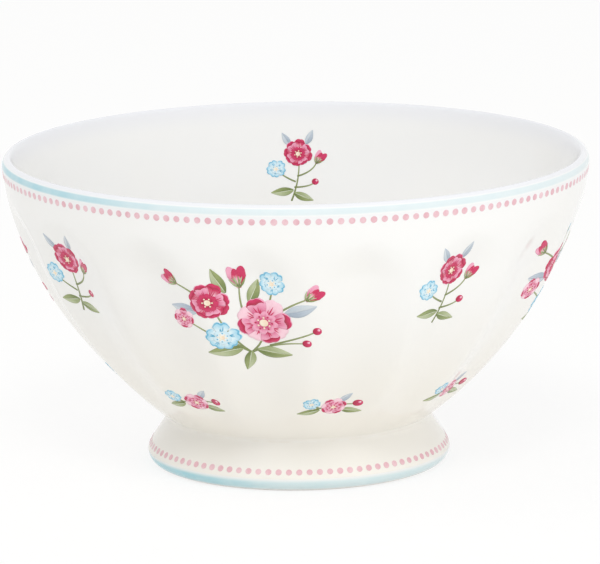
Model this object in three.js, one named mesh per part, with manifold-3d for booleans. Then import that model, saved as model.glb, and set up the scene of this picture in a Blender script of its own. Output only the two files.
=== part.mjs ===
// A footed porcelain bowl: fluted cup, flared foot, enamel bands and printed transfers.
// Millimetres, +Z up, origin at the centre of the foot's resting face, front of the bowl towards -Y.

import * as THREE from "three";
import Module from "manifold-3d";
import { mergeVertices } from "three/addons/utils/BufferGeometryUtils.js";
import { TessellateModifier } from "three/addons/modifiers/TessellateModifier.js";

const { clamp, degToRad, lerp, smoothstep } = THREE.MathUtils;

// Cup: the handles are the Bezier arms of the outer wall, as [outward, upward]
const RIM_RADIUS = 75;
const HEIGHT = 80.7;
const LIP_THICKNESS = 3.8;
const LIP_RISE = 3;
const LIP_EASE = 12;
const LIP_ARMS = [1.3, 9];
const LIP_HANDLE = [3.2, 28.8];
const NECK_RADIUS = 34.4;
const NECK_HEIGHT = 12.5;
const NECK_FILLET = 0.8;
const BELLY_HANDLE = [17.5, 13.2];
const WALL = 5;
const WALL_THINNING = 0.28;
const FLOOR = 5.5;
const FLOOR_TURN = 0.16;
const FLOOR_EASE = 10;

// Flutes on the outside of the cup
const FLUTES = 16;
const FLUTE_DEPTH = 2.8;
const FLUTE_START = 9;
const FLUTE_ARCH = 4.5;
const FLUTE_RUN = 11;
const FLUTE_END = 15;
const FLUTE_CREST = 0.8;
const FLUTE_PHASE = degToRad(2.5);

// Foot, and the slip that joins it to the cup
const SLIP = 0.5;
const FOOT_RADIUS = 38.9;
const FOOT_ROUND = 3.6;
const FOOT_HANDLES = [1.6, 1.8];
const FOOT_WALL = 5.1;
const FOOT_BEARING = 4.4;
const FOOT_EASE = 0.6;

// Enamel bands, and the printed border strips beside them
const ENAMEL = 0.15;
const RIM_BAND_ANGLES = [9, 54].map(degToRad);
const FOOT_BAND_ANGLE = degToRad(-60);
const RIM_BORDER_GAP = 0.1;
const RIM_BORDER_WIDTH = 2;
const FOOT_BORDER_GAP = 0.75;
const FOOT_BORDER_WIDTH = 1.8;

// Printed transfers: thin plates seated just off the glaze, each ring at a fraction of the wall's length.
// Unit is the real length of one unit of the motif's drawing.
const TRANSFER = 0.25;
const SEAT = 0.4;
const LARGEST_FACET = 5.5;
const POSIES = { count: 4, firstDegrees: -12, level: 0.62, unit: 1 };
const SPRIGS = { count: 4, firstDegrees: 33, level: 0.72, unit: 0.9 };
const TWIGS = { count: 8, firstDegrees: 10, level: 0.2, unit: 1.15 };
const INSIDE = { degrees: 180, level: 0.8, unit: 0.8 };

// Facets round the cup and round the foot
const AROUND = FLUTES * 5;
const FOOT_AROUND = 48;

const wasm = await Module();
wasm.setup();

const v2 = (x, y) => new THREE.Vector2(x, y);
const ease = (x) => smoothstep(x, 0, 1);
const steps = (count) => Array.from({ length: count + 1 }, (_, i) => i / count);
const polar = (radius, angle) => v2(radius * Math.cos(angle), radius * Math.sin(angle));
const onArc = (centre, radius, angle) => polar(radius, angle).add(centre);

function outwardNormal(curve, t) {
  const along = curve.getTangent(t);
  return v2(along.y, -along.x);
}

// The parameter at which a rising curve reaches a height
function atHeight(curve, height) {
  let low = 0;
  let high = 1;
  for (let i = 0; i < 40; i += 1) {
    const middle = (low + high) / 2;
    if (curve.getPoint(middle).y < height) {
      low = middle;
    } else {
      high = middle;
    }
  }
  return low;
}

// Outer wall of the cup: a fillet that leaves the neck upright, then one Bezier stretch to the lip
const bellyTurn = Math.atan2(...BELLY_HANDLE);
const lipFlare = Math.atan2(...LIP_HANDLE);
const filletCentre = v2(NECK_RADIUS + NECK_FILLET, NECK_HEIGHT);
const wallStart = onArc(filletCentre, NECK_FILLET, Math.PI - bellyTurn);
const lipHalf = LIP_THICKNESS / 2;
const lipCrown = Math.hypot(lipHalf * Math.sin(lipFlare), LIP_RISE * Math.cos(lipFlare));
const wallEnd = v2(RIM_RADIUS, HEIGHT - lipCrown - lipHalf * Math.sin(lipFlare));
const wallCurve = new THREE.CubicBezierCurve(
  wallStart,
  v2(...BELLY_HANDLE).add(wallStart),
  v2(...LIP_HANDLE).negate().add(wallEnd),
  wallEnd
);

// Lip: a quarter of an ellipse over the end of the wall, leaning with it, from the outside at 0 to its top
const lipCentre = onArc(wallEnd, lipHalf, Math.PI - lipFlare);
const leaned = (x, y) => v2(x, y).rotateAround(v2(0, 0), -lipFlare);
const lipPoint = (angle) => leaned(lipHalf * Math.cos(angle), LIP_RISE * Math.sin(angle)).add(lipCentre);
const lipNormal = (angle) => leaned(LIP_RISE * Math.cos(angle), lipHalf * Math.sin(angle)).normalize();

// Inner wall: the outer one set in by a thickness that thins towards the lip
function innerWallPoint(t) {
  const thickness = lerp(LIP_THICKNESS, WALL, ease((1 - t) / WALL_THINNING));
  return wallCurve.getPoint(t).addScaledVector(outwardNormal(wallCurve, t), -thickness);
}

// Inside of the lip: an easy curve from its top down into the inner wall
const lipTop = lipPoint(Math.PI / 2);
const lipFootT = wallCurve.getUtoTmapping(1 - LIP_EASE / wallCurve.getLength());
const lipFoot = innerWallPoint(lipFootT);
const lipSlope = innerWallPoint(lipFootT + 0.001).sub(lipFoot).setLength(LIP_ARMS[1]);
const lipInside = new THREE.CubicBezierCurve(
  lipTop,
  leaned(-LIP_ARMS[0], 0).add(lipTop),
  lipSlope.add(lipFoot),
  lipFoot
);

// How far the flutes sink a point of the plain wall towards the axis
const archTop = HEIGHT - FLUTE_START;

function fluteInset(angle, radius, height) {
  const wave = (1 - Math.cos(FLUTES * (angle - FLUTE_PHASE))) / 2;
  const hollow = Math.pow(wave, FLUTE_CREST);
  const top = archTop - FLUTE_ARCH * (1 - hollow);
  const upper = ease((top - height) / FLUTE_RUN);
  const lower = ease((height - NECK_HEIGHT) / FLUTE_END);
  return FLUTE_DEPTH * (radius / RIM_RADIUS) * hollow * upper * lower;
}

// Rows of the cup's profile, up the outside, over the lip and down the inside
const rimBorderHigh = wallEnd.y - RIM_BORDER_GAP;
const rimBorderTs = [rimBorderHigh - RIM_BORDER_WIDTH, rimBorderHigh].map((z) => atHeight(wallCurve, z));
const archT = atHeight(wallCurve, archTop);
const archFootT = atHeight(wallCurve, archTop - FLUTE_ARCH - FLUTE_RUN);
const fluteTs = steps(8).map((s) => s * archFootT);
const archTs = steps(6).map((s) => lerp(archFootT, archT, s));
const wallTs = [...fluteTs, ...archTs.slice(1), ...rimBorderTs, 1].sort((a, b) => a - b);
const filletRow = onArc(filletCentre, NECK_FILLET, Math.PI - bellyTurn / 2);
const rimBandAngles = steps(2).map((s) => lerp(...RIM_BAND_ANGLES, s));
const lipRows = [...rimBandAngles.map(lipPoint), ...lipInside.getPoints(3)];
const innerRows = steps(6).map((s) => innerWallPoint(lerp(lipFootT, FLOOR_TURN, s)));

const floorHeight = NECK_HEIGHT + FLOOR;
const floorStart = innerRows[innerRows.length - 1];
const floorSlope = wallCurve.getTangent(FLOOR_TURN);
const floorRun = ((floorStart.y - floorHeight) * floorSlope.x) / floorSlope.y;
const floorCorner = v2(floorStart.x - floorRun, floorHeight);
const floorEnd = v2(floorCorner.x - FLOOR_EASE, floorHeight);
const floorCurve = new THREE.QuadraticBezierCurve(floorStart, floorCorner, floorEnd);

const outerRows = [
  v2(NECK_RADIUS, NECK_HEIGHT),
  filletRow,
  ...wallTs.map((t) => wallCurve.getPoint(t)),
];
const cupProfile = [
  ...outerRows,
  ...lipRows,
  ...innerRows.slice(1),
  ...floorCurve.getPoints(3).slice(1),
  v2(0, floorHeight),
];

// Rows of the foot's profile
const footTop = NECK_HEIGHT - SLIP;
const footCurve = new THREE.CubicBezierCurve(
  v2(FOOT_RADIUS, FOOT_ROUND),
  v2(FOOT_RADIUS, FOOT_ROUND + FOOT_HANDLES[0]),
  v2(NECK_RADIUS, footTop - FOOT_HANDLES[1]),
  v2(NECK_RADIUS, footTop)
);
const footRoundCentre = v2(FOOT_RADIUS - FOOT_ROUND, FOOT_ROUND);
const footBandAngles = [FOOT_BAND_ANGLE, FOOT_BAND_ANGLE / 2, 0];
const footBandRows = footBandAngles.map((angle) => onArc(footRoundCentre, FOOT_ROUND, angle));
const footBorderLow = FOOT_ROUND + FOOT_BORDER_GAP;
const footBorderHigh = footBorderLow + FOOT_BORDER_WIDTH;
const footBorderTs = [footBorderLow, footBorderHigh].map((z) => atHeight(footCurve, z));
const flareTs = [0, 0.3, 0.6, 1].map((s) => lerp(footBorderTs[1], 1, s));
const bearingInner = footRoundCentre.x - FOOT_BEARING;
const recessRadius = NECK_RADIUS - FOOT_WALL;
const bearingOuter = v2(footRoundCentre.x, 0);
const footProfile = [
  bearingOuter,
  onArc(footRoundCentre, FOOT_ROUND, (FOOT_BAND_ANGLE - Math.PI / 2) / 2),
  ...footBandRows,
  ...[footBorderTs[0], ...flareTs].map((t) => footCurve.getPoint(t)),
  v2(recessRadius, footTop),
  v2(bearingInner - FOOT_EASE, FOOT_EASE),
  v2(bearingInner, 0),
  bearingOuter.clone(),
];
const slipProfile = [
  v2(NECK_RADIUS, footTop),
  v2(NECK_RADIUS, NECK_HEIGHT),
  v2(recessRadius, NECK_HEIGHT),
  v2(recessRadius, footTop),
  v2(NECK_RADIUS, footTop),
];

function turned(profile, segments) {
  return new THREE.LatheGeometry(profile, segments, FLUTE_PHASE).rotateX(Math.PI / 2);
}

function flutedCup() {
  const profile = [v2(0, NECK_HEIGHT), ...cupProfile];
  const geometry = turned(profile, AROUND);
  const position = geometry.getAttribute("position");
  for (let i = 0; i < position.count; i += 1) {
    const row = i % profile.length;
    if (row > 0 && row <= outerRows.length) {
      const { x: radius, y: height } = profile[row];
      const angle = Math.atan2(position.getX(i), -position.getY(i));
      const scale = 1 - fluteInset(angle, radius, height) / radius;
      position.setXY(i, position.getX(i) * scale, position.getY(i) * scale);
    }
  }
  return geometry;
}

// A thin skin laid on rows of a profile, sharing the facets beneath it
function skin(rows, normals, segments) {
  const outside = rows.map((row, i) => row.clone().addScaledVector(normals[i], ENAMEL));
  return turned([...outside, ...rows.slice().reverse(), outside[0].clone()], segments);
}

function borderStrip(curve, ts, segments) {
  const rows = ts.map((t) => curve.getPoint(t));
  return skin(rows, ts.map((t) => outwardNormal(curve, t)), segments);
}

function footBand() {
  return skin(footBandRows, footBandAngles.map((angle) => polar(1, angle)), FOOT_AROUND);
}

// Flat plates for the printed motifs, drawn in their own units, before they are joined and laid on the wall
const STEM = 0.9;

function plate(points) {
  const shape = new THREE.Shape(points);
  return new THREE.ExtrudeGeometry(shape, { depth: TRANSFER, bevelEnabled: false });
}

function placed(points, [x, y], degrees) {
  return plate(points).rotateZ(degToRad(degrees)).translate(x, y, 0);
}

function bloom(at, radius, petals) {
  const reach = (i) => (i % 2 ? radius : 0.78 * radius);
  const turns = steps(2 * petals).slice(1);
  return placed(turns.map((s, i) => polar(reach(i), s * 2 * Math.PI)), at, 90);
}

function blade(at, length, width, degrees) {
  const widest = 0.45 * length;
  const corners = [v2(-STEM / 2, 0), v2(widest, -width / 2), v2(length, 0), v2(widest, width / 2)];
  return placed(corners, at, degrees);
}

const leaf = (at, length, degrees) => blade(at, length, 0.42 * length, degrees);
const bud = (at, length, degrees) => blade(at, length, 0.66 * length, degrees);
const berry = (at) => bloom(at, 1.7, 3);

function stem(from, to, bow = [0, 0]) {
  const [start, end] = [v2(...from), v2(...to)];
  const middle = start.clone().lerp(end, 0.5).add(v2(...bow));
  const curve = new THREE.QuadraticBezierCurve(start, middle, end);
  const edge = (offset) =>
    steps(2).map((t) => curve.getPoint(t).addScaledVector(outwardNormal(curve, t), offset));
  return plate([...edge(STEM / 2), ...edge(-STEM / 2).reverse()]);
}

function asSolid(geometry) {
  const bare = geometry.clone();
  bare.deleteAttribute("normal");
  bare.deleteAttribute("uv");
  const merged = mergeVertices(bare, 1e-4);
  const mesh = new wasm.Mesh({
    numProp: 3,
    vertProperties: new Float32Array(merged.getAttribute("position").array),
    triVerts: new Uint32Array(merged.index.array),
  });
  return new wasm.Manifold(mesh);
}

function joined(plates) {
  const mesh = wasm.Manifold.union(plates.map(asSolid)).getMesh();
  const geometry = new THREE.BufferGeometry();
  geometry.setAttribute("position", new THREE.BufferAttribute(mesh.vertProperties, 3));
  geometry.setIndex(new THREE.BufferAttribute(mesh.triVerts, 1));
  return geometry;
}

const tie = [1, -10];
const posy = joined([
  stem(tie, [5.5, 0], [2, -1]),
  bloom([5.5, 0.5], 7.2, 8),
  stem(tie, [-7.5, 6], [-1, -3]),
  bloom([-8, 6.5], 5.4, 8),
  stem(tie, [-5, -5]),
  bloom([-5.5, -4.5], 4.6, 5),
  stem([5.5, 2], [8.5, 11.5], [1, 0]),
  bloom([8.5, 12], 3.6, 5),
  stem([1, 0], [0, 11], [-1, 0]),
  bud([0, 10.5], 7, 95),
  stem([8, 2], [17, 7.5], [0, 1]),
  bud([16.6, 7.2], 6, 38),
  stem([-8, 6], [-17, 11], [0, 1]),
  bud([-16.6, 10.8], 5.5, 145),
  stem(tie, [-15, 0], [-2, 2]),
  bloom([-15.5, 0.5], 3.2, 8),
  stem(tie, [15, -6.5], [0, 2]),
  berry([15.5, -6.5]),
  stem([6, -7.5], [18.5, -2.5], [1, 0]),
  berry([18.5, -2.5]),
  leaf([-1, -8.5], 9, 197),
  leaf([2.5, -9], 9, -18),
  leaf([1, -9.5], 7, 262),
  leaf([11, 3], 8.5, 8),
  leaf([-11, 3], 8, 178),
  leaf([2, 6], 7.5, 62),
  leaf([-3.5, 9], 7.5, 118),
]);
const sprig = joined([
  stem([-1.5, -12], [1, 5], [2, 0]),
  bloom([1, 5.5], 4.8, 8),
  stem([0, -5], [-6, -0.5], [-2, 0]),
  bloom([-6.5, 0], 3.4, 5),
  stem([0.5, -3], [7, 2], [2, -1]),
  bud([6.8, 1.6], 5.5, 58),
  stem([-0.5, -7], [6.5, -5], [2, -1]),
  berry([6.5, -5]),
  leaf([-0.8, -8], 7.5, 190),
  leaf([-0.6, -9], 7, -28),
  leaf([-1.5, 8], 5.5, 128),
  leaf([3.5, 8.5], 5.5, 58),
]);
const twig = joined([
  stem([-6.5, -1.5], [6, 1], [0, 2]),
  bloom([0.8, 0.6], 3, 8),
  stem([-2.5, 0.2], [-4.2, 2], [-0.5, 0]),
  bloom([-4.4, 2.2], 2.1, 5),
  berry([6.2, 1.4]),
  leaf([-2.4, -0.4], 5, 202),
  leaf([2.4, -0.6], 5, -22),
  leaf([2, 2], 4.2, 58),
]);

// Laying a flat motif on the wall: across goes round the cup and up goes along its profile.
// Side is 1 for the outside of the wall and -1 for the inside.
function draped(flat, { degrees, level, unit, side }) {
  const angle = degToRad(degrees);
  const laid = new TessellateModifier(LARGEST_FACET / unit, 8).modify(flat);
  const position = laid.getAttribute("position");
  const wallLength = wallCurve.getLength();
  for (let i = 0; i < position.count; i += 1) {
    const along = clamp(level + (unit * position.getY(i)) / wallLength, 0, 1);
    const t = wallCurve.getUtoTmapping(along);
    const point = side > 0 ? wallCurve.getPoint(t) : innerWallPoint(t);
    const turn = angle + (side * unit * position.getX(i)) / point.x;
    const sink = side > 0 ? fluteInset(turn, point.x, point.y) : 0;
    point.addScaledVector(outwardNormal(wallCurve, t), side * (SEAT + position.getZ(i)));
    const radius = point.x - sink;
    position.setXYZ(i, radius * Math.sin(turn), -radius * Math.cos(turn), point.y);
  }
  return laid;
}

const finish = (color, roughness) => new THREE.MeshStandardMaterial({ color, roughness, metalness: 0 });
const porcelain = finish(0xf6f3ea, 0.15);
const driedSlip = finish(0xece6d8, 0.35);
const enamel = finish(0xc3dee6, 0.15);
const borderPrint = finish(0xefc4cb, 0.2);
const flowerPrint = finish(0xd8799c, 0.2);

const footedBowl = new THREE.Group();
footedBowl.name = "footed_bowl";

function add(name, geometry, material) {
  const mesh = new THREE.Mesh(geometry, material.clone());
  mesh.name = name;
  footedBowl.add(mesh);
}

function addTransfers(name, flat, { count, firstDegrees, level, unit }) {
  for (let i = 0; i < count; i += 1) {
    const degrees = firstDegrees + (360 * i) / count;
    add(`${name}_${i + 1}`, draped(flat, { degrees, level, unit, side: 1 }), flowerPrint);
  }
}

add("bowl", flutedCup(), porcelain);
add("luting_slip", turned(slipProfile, FOOT_AROUND), driedSlip);
add("foot_ring", turned(footProfile, FOOT_AROUND), porcelain);
add("rim_band", skin(rimBandAngles.map(lipPoint), rimBandAngles.map(lipNormal), AROUND), enamel);
add("foot_band", footBand(), enamel);
add("rim_dot_border", borderStrip(wallCurve, rimBorderTs, AROUND), borderPrint);
add("foot_dot_border", borderStrip(footCurve, footBorderTs, FOOT_AROUND), borderPrint);
addTransfers("posy", posy, POSIES);
addTransfers("sprig", sprig, SPRIGS);
addTransfers("twig", twig, TWIGS);
add("inside_sprig", draped(sprig, { ...INSIDE, side: -1 }), flowerPrint);

export default footedBowl;
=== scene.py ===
"""A footed breakfast bowl in glazed porcelain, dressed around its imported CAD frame.

Metres, +Z up, the side that faces the camera is -Y. Angles round the bowl start at -Y and grow towards +X.
"""

import logging
import math
from dataclasses import dataclass, field
from enum import Enum, IntEnum
from typing import Callable, ClassVar, Iterable, Mapping, Protocol, Union

import bpy
import numpy as np
from mathutils import Matrix, Vector
from numpy.typing import ArrayLike


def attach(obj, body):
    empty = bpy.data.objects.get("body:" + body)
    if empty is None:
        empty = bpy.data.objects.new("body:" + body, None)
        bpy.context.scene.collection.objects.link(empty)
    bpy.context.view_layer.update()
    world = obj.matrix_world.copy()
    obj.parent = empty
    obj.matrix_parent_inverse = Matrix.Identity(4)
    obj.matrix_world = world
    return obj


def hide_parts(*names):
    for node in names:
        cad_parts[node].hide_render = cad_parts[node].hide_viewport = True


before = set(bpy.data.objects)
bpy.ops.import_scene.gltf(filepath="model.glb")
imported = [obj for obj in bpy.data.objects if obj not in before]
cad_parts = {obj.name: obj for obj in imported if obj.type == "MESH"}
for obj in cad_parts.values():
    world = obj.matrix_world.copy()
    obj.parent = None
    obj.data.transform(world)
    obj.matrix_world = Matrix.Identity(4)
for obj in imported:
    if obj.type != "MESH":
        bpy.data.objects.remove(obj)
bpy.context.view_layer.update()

MM = 0.001
TAU = 2.0 * math.pi
log = logging.getLogger("footed_bowl")

Colour = tuple[float, float, float, float]
Pair = tuple[float, float]
Inputs = Mapping[str, object] | None


def linear(red: int, green: int, blue: int) -> Colour:
    """Turn a display colour into a linear one.

    Args:
        red: Red from 0 to 255.
        green: Green from 0 to 255.
        blue: Blue from 0 to 255.

    Returns:
        The colour as linear red, green and blue, with full alpha.
    """
    def channel(value: float) -> float:
        """Undo the display curve of one channel."""
        return value / 12.92 if value <= 0.04045 else ((value + 0.055) / 1.055) ** 2.4

    return (*(channel(part / 255.0) for part in (red, green, blue)), 1.0)


# Node graphs


def socket_named(sockets: Iterable[bpy.types.NodeSocket], name: str) -> bpy.types.NodeSocket:
    """Find the active socket of that name among a node's inputs or outputs."""
    return next(item for item in sockets if item.name == name and item.enabled)


@dataclass(frozen=True)
class Wire:
    """A node's output that takes part in sums, each of which becomes a Math node."""

    tree: bpy.types.NodeTree
    socket: bpy.types.NodeSocket

    def maths(self, operation: str, *operands: "Field", clamp: bool = False) -> "Wire":
        """Add a Math node.

        Args:
            operation: The Math node's operation.
            operands: Wires or numbers, in the order of the node's inputs.
            clamp: Whether the result is held between 0 and 1.

        Returns:
            The node's output.
        """
        node = self.tree.nodes.new("ShaderNodeMath")
        node.operation = operation
        node.use_clamp = clamp
        for slot, value in zip(node.inputs, operands):
            feed(self.tree, slot, value)
        return Wire(self.tree, node.outputs[0])

    def __add__(self, other: "Field") -> "Wire":
        """Sum."""
        return self.maths("ADD", self, other)

    def __sub__(self, other: "Field") -> "Wire":
        """Difference."""
        return self.maths("SUBTRACT", self, other)

    def __rsub__(self, other: "Field") -> "Wire":
        """Difference with the wire on the right."""
        return self.maths("SUBTRACT", other, self)

    def __mul__(self, other: "Field") -> "Wire":
        """Product."""
        return self.maths("MULTIPLY", self, other)

    def __truediv__(self, other: "Field") -> "Wire":
        """Quotient."""
        return self.maths("DIVIDE", self, other)

    __radd__ = __add__
    __rmul__ = __mul__


Field = Union[Wire, np.ndarray, float]


def feed(tree: bpy.types.NodeTree, slot: bpy.types.NodeSocket, value: object) -> None:
    """Link a wire or a socket to an input, or set the input to a plain value.

    Args:
        tree: The tree that the input is in.
        slot: The input.
        value: A wire, a socket or a plain value.
    """
    if isinstance(value, Wire):
        tree.links.new(value.socket, slot)
    elif isinstance(value, bpy.types.NodeSocket):
        tree.links.new(value, slot)
    else:
        slot.default_value = value


def cosine(value: Field) -> Field:
    """Cosine of a wire or of an array."""
    return value.maths("COSINE", value) if isinstance(value, Wire) else np.cos(value)


def power(value: Field, exponent: Field) -> Field:
    """A wire or an array raised to a power."""
    return value.maths("POWER", value, exponent) if isinstance(value, Wire) else np.power(value, exponent)


def eased(value: Field) -> Field:
    """Smooth step of a wire or of an array, flat below 0 and above 1.

    Args:
        value: The wire or the array.

    Returns:
        Its smooth step, from 0 to 1.
    """
    if isinstance(value, Wire):
        held = value.maths("MULTIPLY", value, 1.0, clamp=True)
    else:
        held = np.clip(value, 0.0, 1.0)
    return held * held * (3.0 - 2.0 * held)


class Graph:
    """A node tree with short calls for adding and linking nodes."""

    def __init__(self, tree: bpy.types.NodeTree) -> None:
        """Keep the tree."""
        self.tree = tree

    def node(self, kind: str, inputs: Inputs = None, **settings: object) -> bpy.types.Node:
        """Add a node.

        Args:
            kind: The node's type name.
            inputs: Values, wires or sockets by input name.
            settings: Properties of the node.

        Returns:
            The node.
        """
        made = self.tree.nodes.new(kind)
        for name, value in settings.items():
            setattr(made, name, value)
        for name, value in (inputs or {}).items():
            feed(self.tree, socket_named(made.inputs, name), value)
        return made

    def wire(self, kind: str, output: str, inputs: Inputs = None, **settings: object) -> Wire:
        """Add a node and return one of its outputs as a wire."""
        made = self.node(kind, inputs, **settings)
        return Wire(self.tree, socket_named(made.outputs, output))

    def vector(self, **parts: Field) -> Wire:
        """A vector from its X, Y and Z, each 0 where it is left out."""
        return self.wire("ShaderNodeCombineXYZ", "Vector", parts)

    def parts(self, vector: Wire) -> tuple[Wire, ...]:
        """The X, Y and Z of a vector."""
        split = self.node("ShaderNodeSeparateXYZ", {"Vector": vector})
        return tuple(Wire(self.tree, output) for output in split.outputs)


class NodeModifier(Graph):
    """A Geometry Nodes tree with named inputs, run once on an object and then removed."""

    KINDS = {int: "NodeSocketInt", float: "NodeSocketFloat"}

    def __init__(self, name: str, sizes: Mapping[str, float | int]) -> None:
        """Make the tree's interface.

        Args:
            name: The tree's name.
            sizes: Default value of each named input, whole numbers as int.
        """
        super().__init__(bpy.data.node_groups.new(name, "GeometryNodeTree"))
        face = self.tree.interface
        face.new_socket("Geometry", in_out="INPUT", socket_type="NodeSocketGeometry")
        face.new_socket("Geometry", in_out="OUTPUT", socket_type="NodeSocketGeometry")
        self.identifiers: dict[str, str] = {}
        for label, value in sizes.items():
            item = face.new_socket(label, in_out="INPUT", socket_type=self.KINDS[type(value)])
            item.default_value = value
            self.identifiers[label] = item.identifier
        item = face.new_socket("Material", in_out="INPUT", socket_type="NodeSocketMaterial")
        self.identifiers["Material"] = item.identifier
        self.entry = self.tree.nodes.new("NodeGroupInput")
        self.exit = self.tree.nodes.new("NodeGroupOutput")

    def size(self, label: str) -> Wire:
        """One of the tree's named inputs."""
        return Wire(self.tree, socket_named(self.entry.outputs, label))

    def close(self, geometry: Wire) -> None:
        """End the tree in Realize Instances and Set Material.

        Args:
            geometry: What the tree has made.
        """
        solid = self.wire("GeometryNodeRealizeInstances", "Geometry", {"Geometry": geometry})
        ink = {"Geometry": solid, "Material": self.size("Material")}
        dressed = self.wire("GeometryNodeSetMaterial", "Geometry", ink)
        feed(self.tree, self.exit.inputs["Geometry"], dressed)

    def run(self, piece: bpy.types.Object, values: Mapping[str, object]) -> bpy.types.Object:
        """Run the tree on a piece and leave the result as its plain mesh.

        Args:
            piece: The object whose mesh goes in.
            values: Value of each named input.

        Returns:
            The same object.
        """
        modifier = piece.modifiers.new(self.tree.name, "NODES")
        modifier.node_group = self.tree
        for label, value in values.items():
            modifier[self.identifiers[label]] = value
        depsgraph = bpy.context.evaluated_depsgraph_get()
        mesh = bpy.data.meshes.new_from_object(piece.evaluated_get(depsgraph), depsgraph=depsgraph)
        piece.modifiers.clear()
        piece.data = mesh
        mesh.name = piece.name
        return piece


def new_object(name: str, data: bpy.types.ID) -> bpy.types.Object:
    """Put a mesh, a lamp or a camera into the scene, at the origin.

    Args:
        name: The object's name.
        data: What it holds.

    Returns:
        The object.
    """
    made = bpy.data.objects.new(name, data)
    bpy.context.scene.collection.objects.link(made)
    return made


# Shape of the cup


@dataclass(frozen=True)
class Flutes:
    """Soft hollows down the outside of the cup, arched at their tops."""

    count: int = 16
    depth: float = 2.8 * MM
    start: float = 9.0 * MM
    arch: float = 4.5 * MM
    run: float = 11.0 * MM
    end: float = 15.0 * MM
    crest: float = 0.8
    phase: float = math.radians(2.5)

    def sizes(self, cup: "CupWall") -> dict[str, float | int]:
        """The flutes' sizes by name, with the cup's heights that they start from.

        Args:
            cup: The cup that they are pressed into.

        Returns:
            The sizes by the names of the tree's inputs.
        """
        return {
            "Flute Count": self.count,
            "Flute Depth": self.depth / cup.rim_radius,
            "Arch Top": cup.height - self.start,
            "Arch Rise": self.arch,
            "Top Run": self.run,
            "Neck Height": cup.neck_height,
            "Neck Run": self.end,
            "Crest Power": self.crest,
            "Phase": self.phase,
        }


def flute_inset(angle: Field, radius: Field, height: Field, sizes: Mapping[str, Field]) -> Field:
    """How far a point of the plain wall moves in towards the axis.

    Args:
        angle: Angle round the bowl.
        radius: Radius of the plain wall there.
        height: Height of the point.
        sizes: The flutes' sizes, as numbers or as wires.

    Returns:
        The inset, as an array or as a wire.
    """
    wave = (1.0 - cosine((angle - sizes["Phase"]) * sizes["Flute Count"])) * 0.5
    hollow = power(wave, sizes["Crest Power"])
    arch_top = sizes["Arch Top"] - sizes["Arch Rise"] * (1.0 - hollow)
    upper = eased((arch_top - height) / sizes["Top Run"])
    lower = eased((height - sizes["Neck Height"]) / sizes["Neck Run"])
    return radius * sizes["Flute Depth"] * hollow * upper * lower


def arc(centre: Pair, radius: float, start: float, stop: float, count: int) -> np.ndarray:
    """Points on a circular arc, both ends included."""
    angles = np.linspace(start, stop, count + 1)
    return np.stack([centre[0] + radius * np.cos(angles), centre[1] + radius * np.sin(angles)], -1)


def bezier(controls: np.ndarray, t: np.ndarray) -> np.ndarray:
    """Points on a Bezier curve of any degree.

    Args:
        controls: The control points.
        t: Parameters from 0 to 1.

    Returns:
        One point for each parameter.
    """
    points = np.repeat(controls[None, :, :], len(t), axis=0)
    share = t[:, None, None]
    while points.shape[1] > 1:
        points = points[:, :-1] * (1.0 - share) + points[:, 1:] * share
    return points[:, 0]


def curve(controls: ArrayLike, count: int) -> np.ndarray:
    """Points at even parameters of a Bezier curve, both ends included."""
    return bezier(np.array(controls), np.linspace(0.0, 1.0, count + 1))


def line(start: ArrayLike, stop: ArrayLike, count: int) -> np.ndarray:
    """Points on a straight line, both ends included."""
    return np.linspace(start, stop, count + 1)


def chain(*stretches: np.ndarray) -> np.ndarray:
    """Join stretches of a profile, each of which starts where the one before it ends."""
    return np.concatenate([stretches[0], *(part[1:] for part in stretches[1:])])


def unit(vectors: np.ndarray) -> np.ndarray:
    """Vectors scaled to length 1."""
    return vectors / np.linalg.norm(vectors, axis=-1, keepdims=True)


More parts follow.
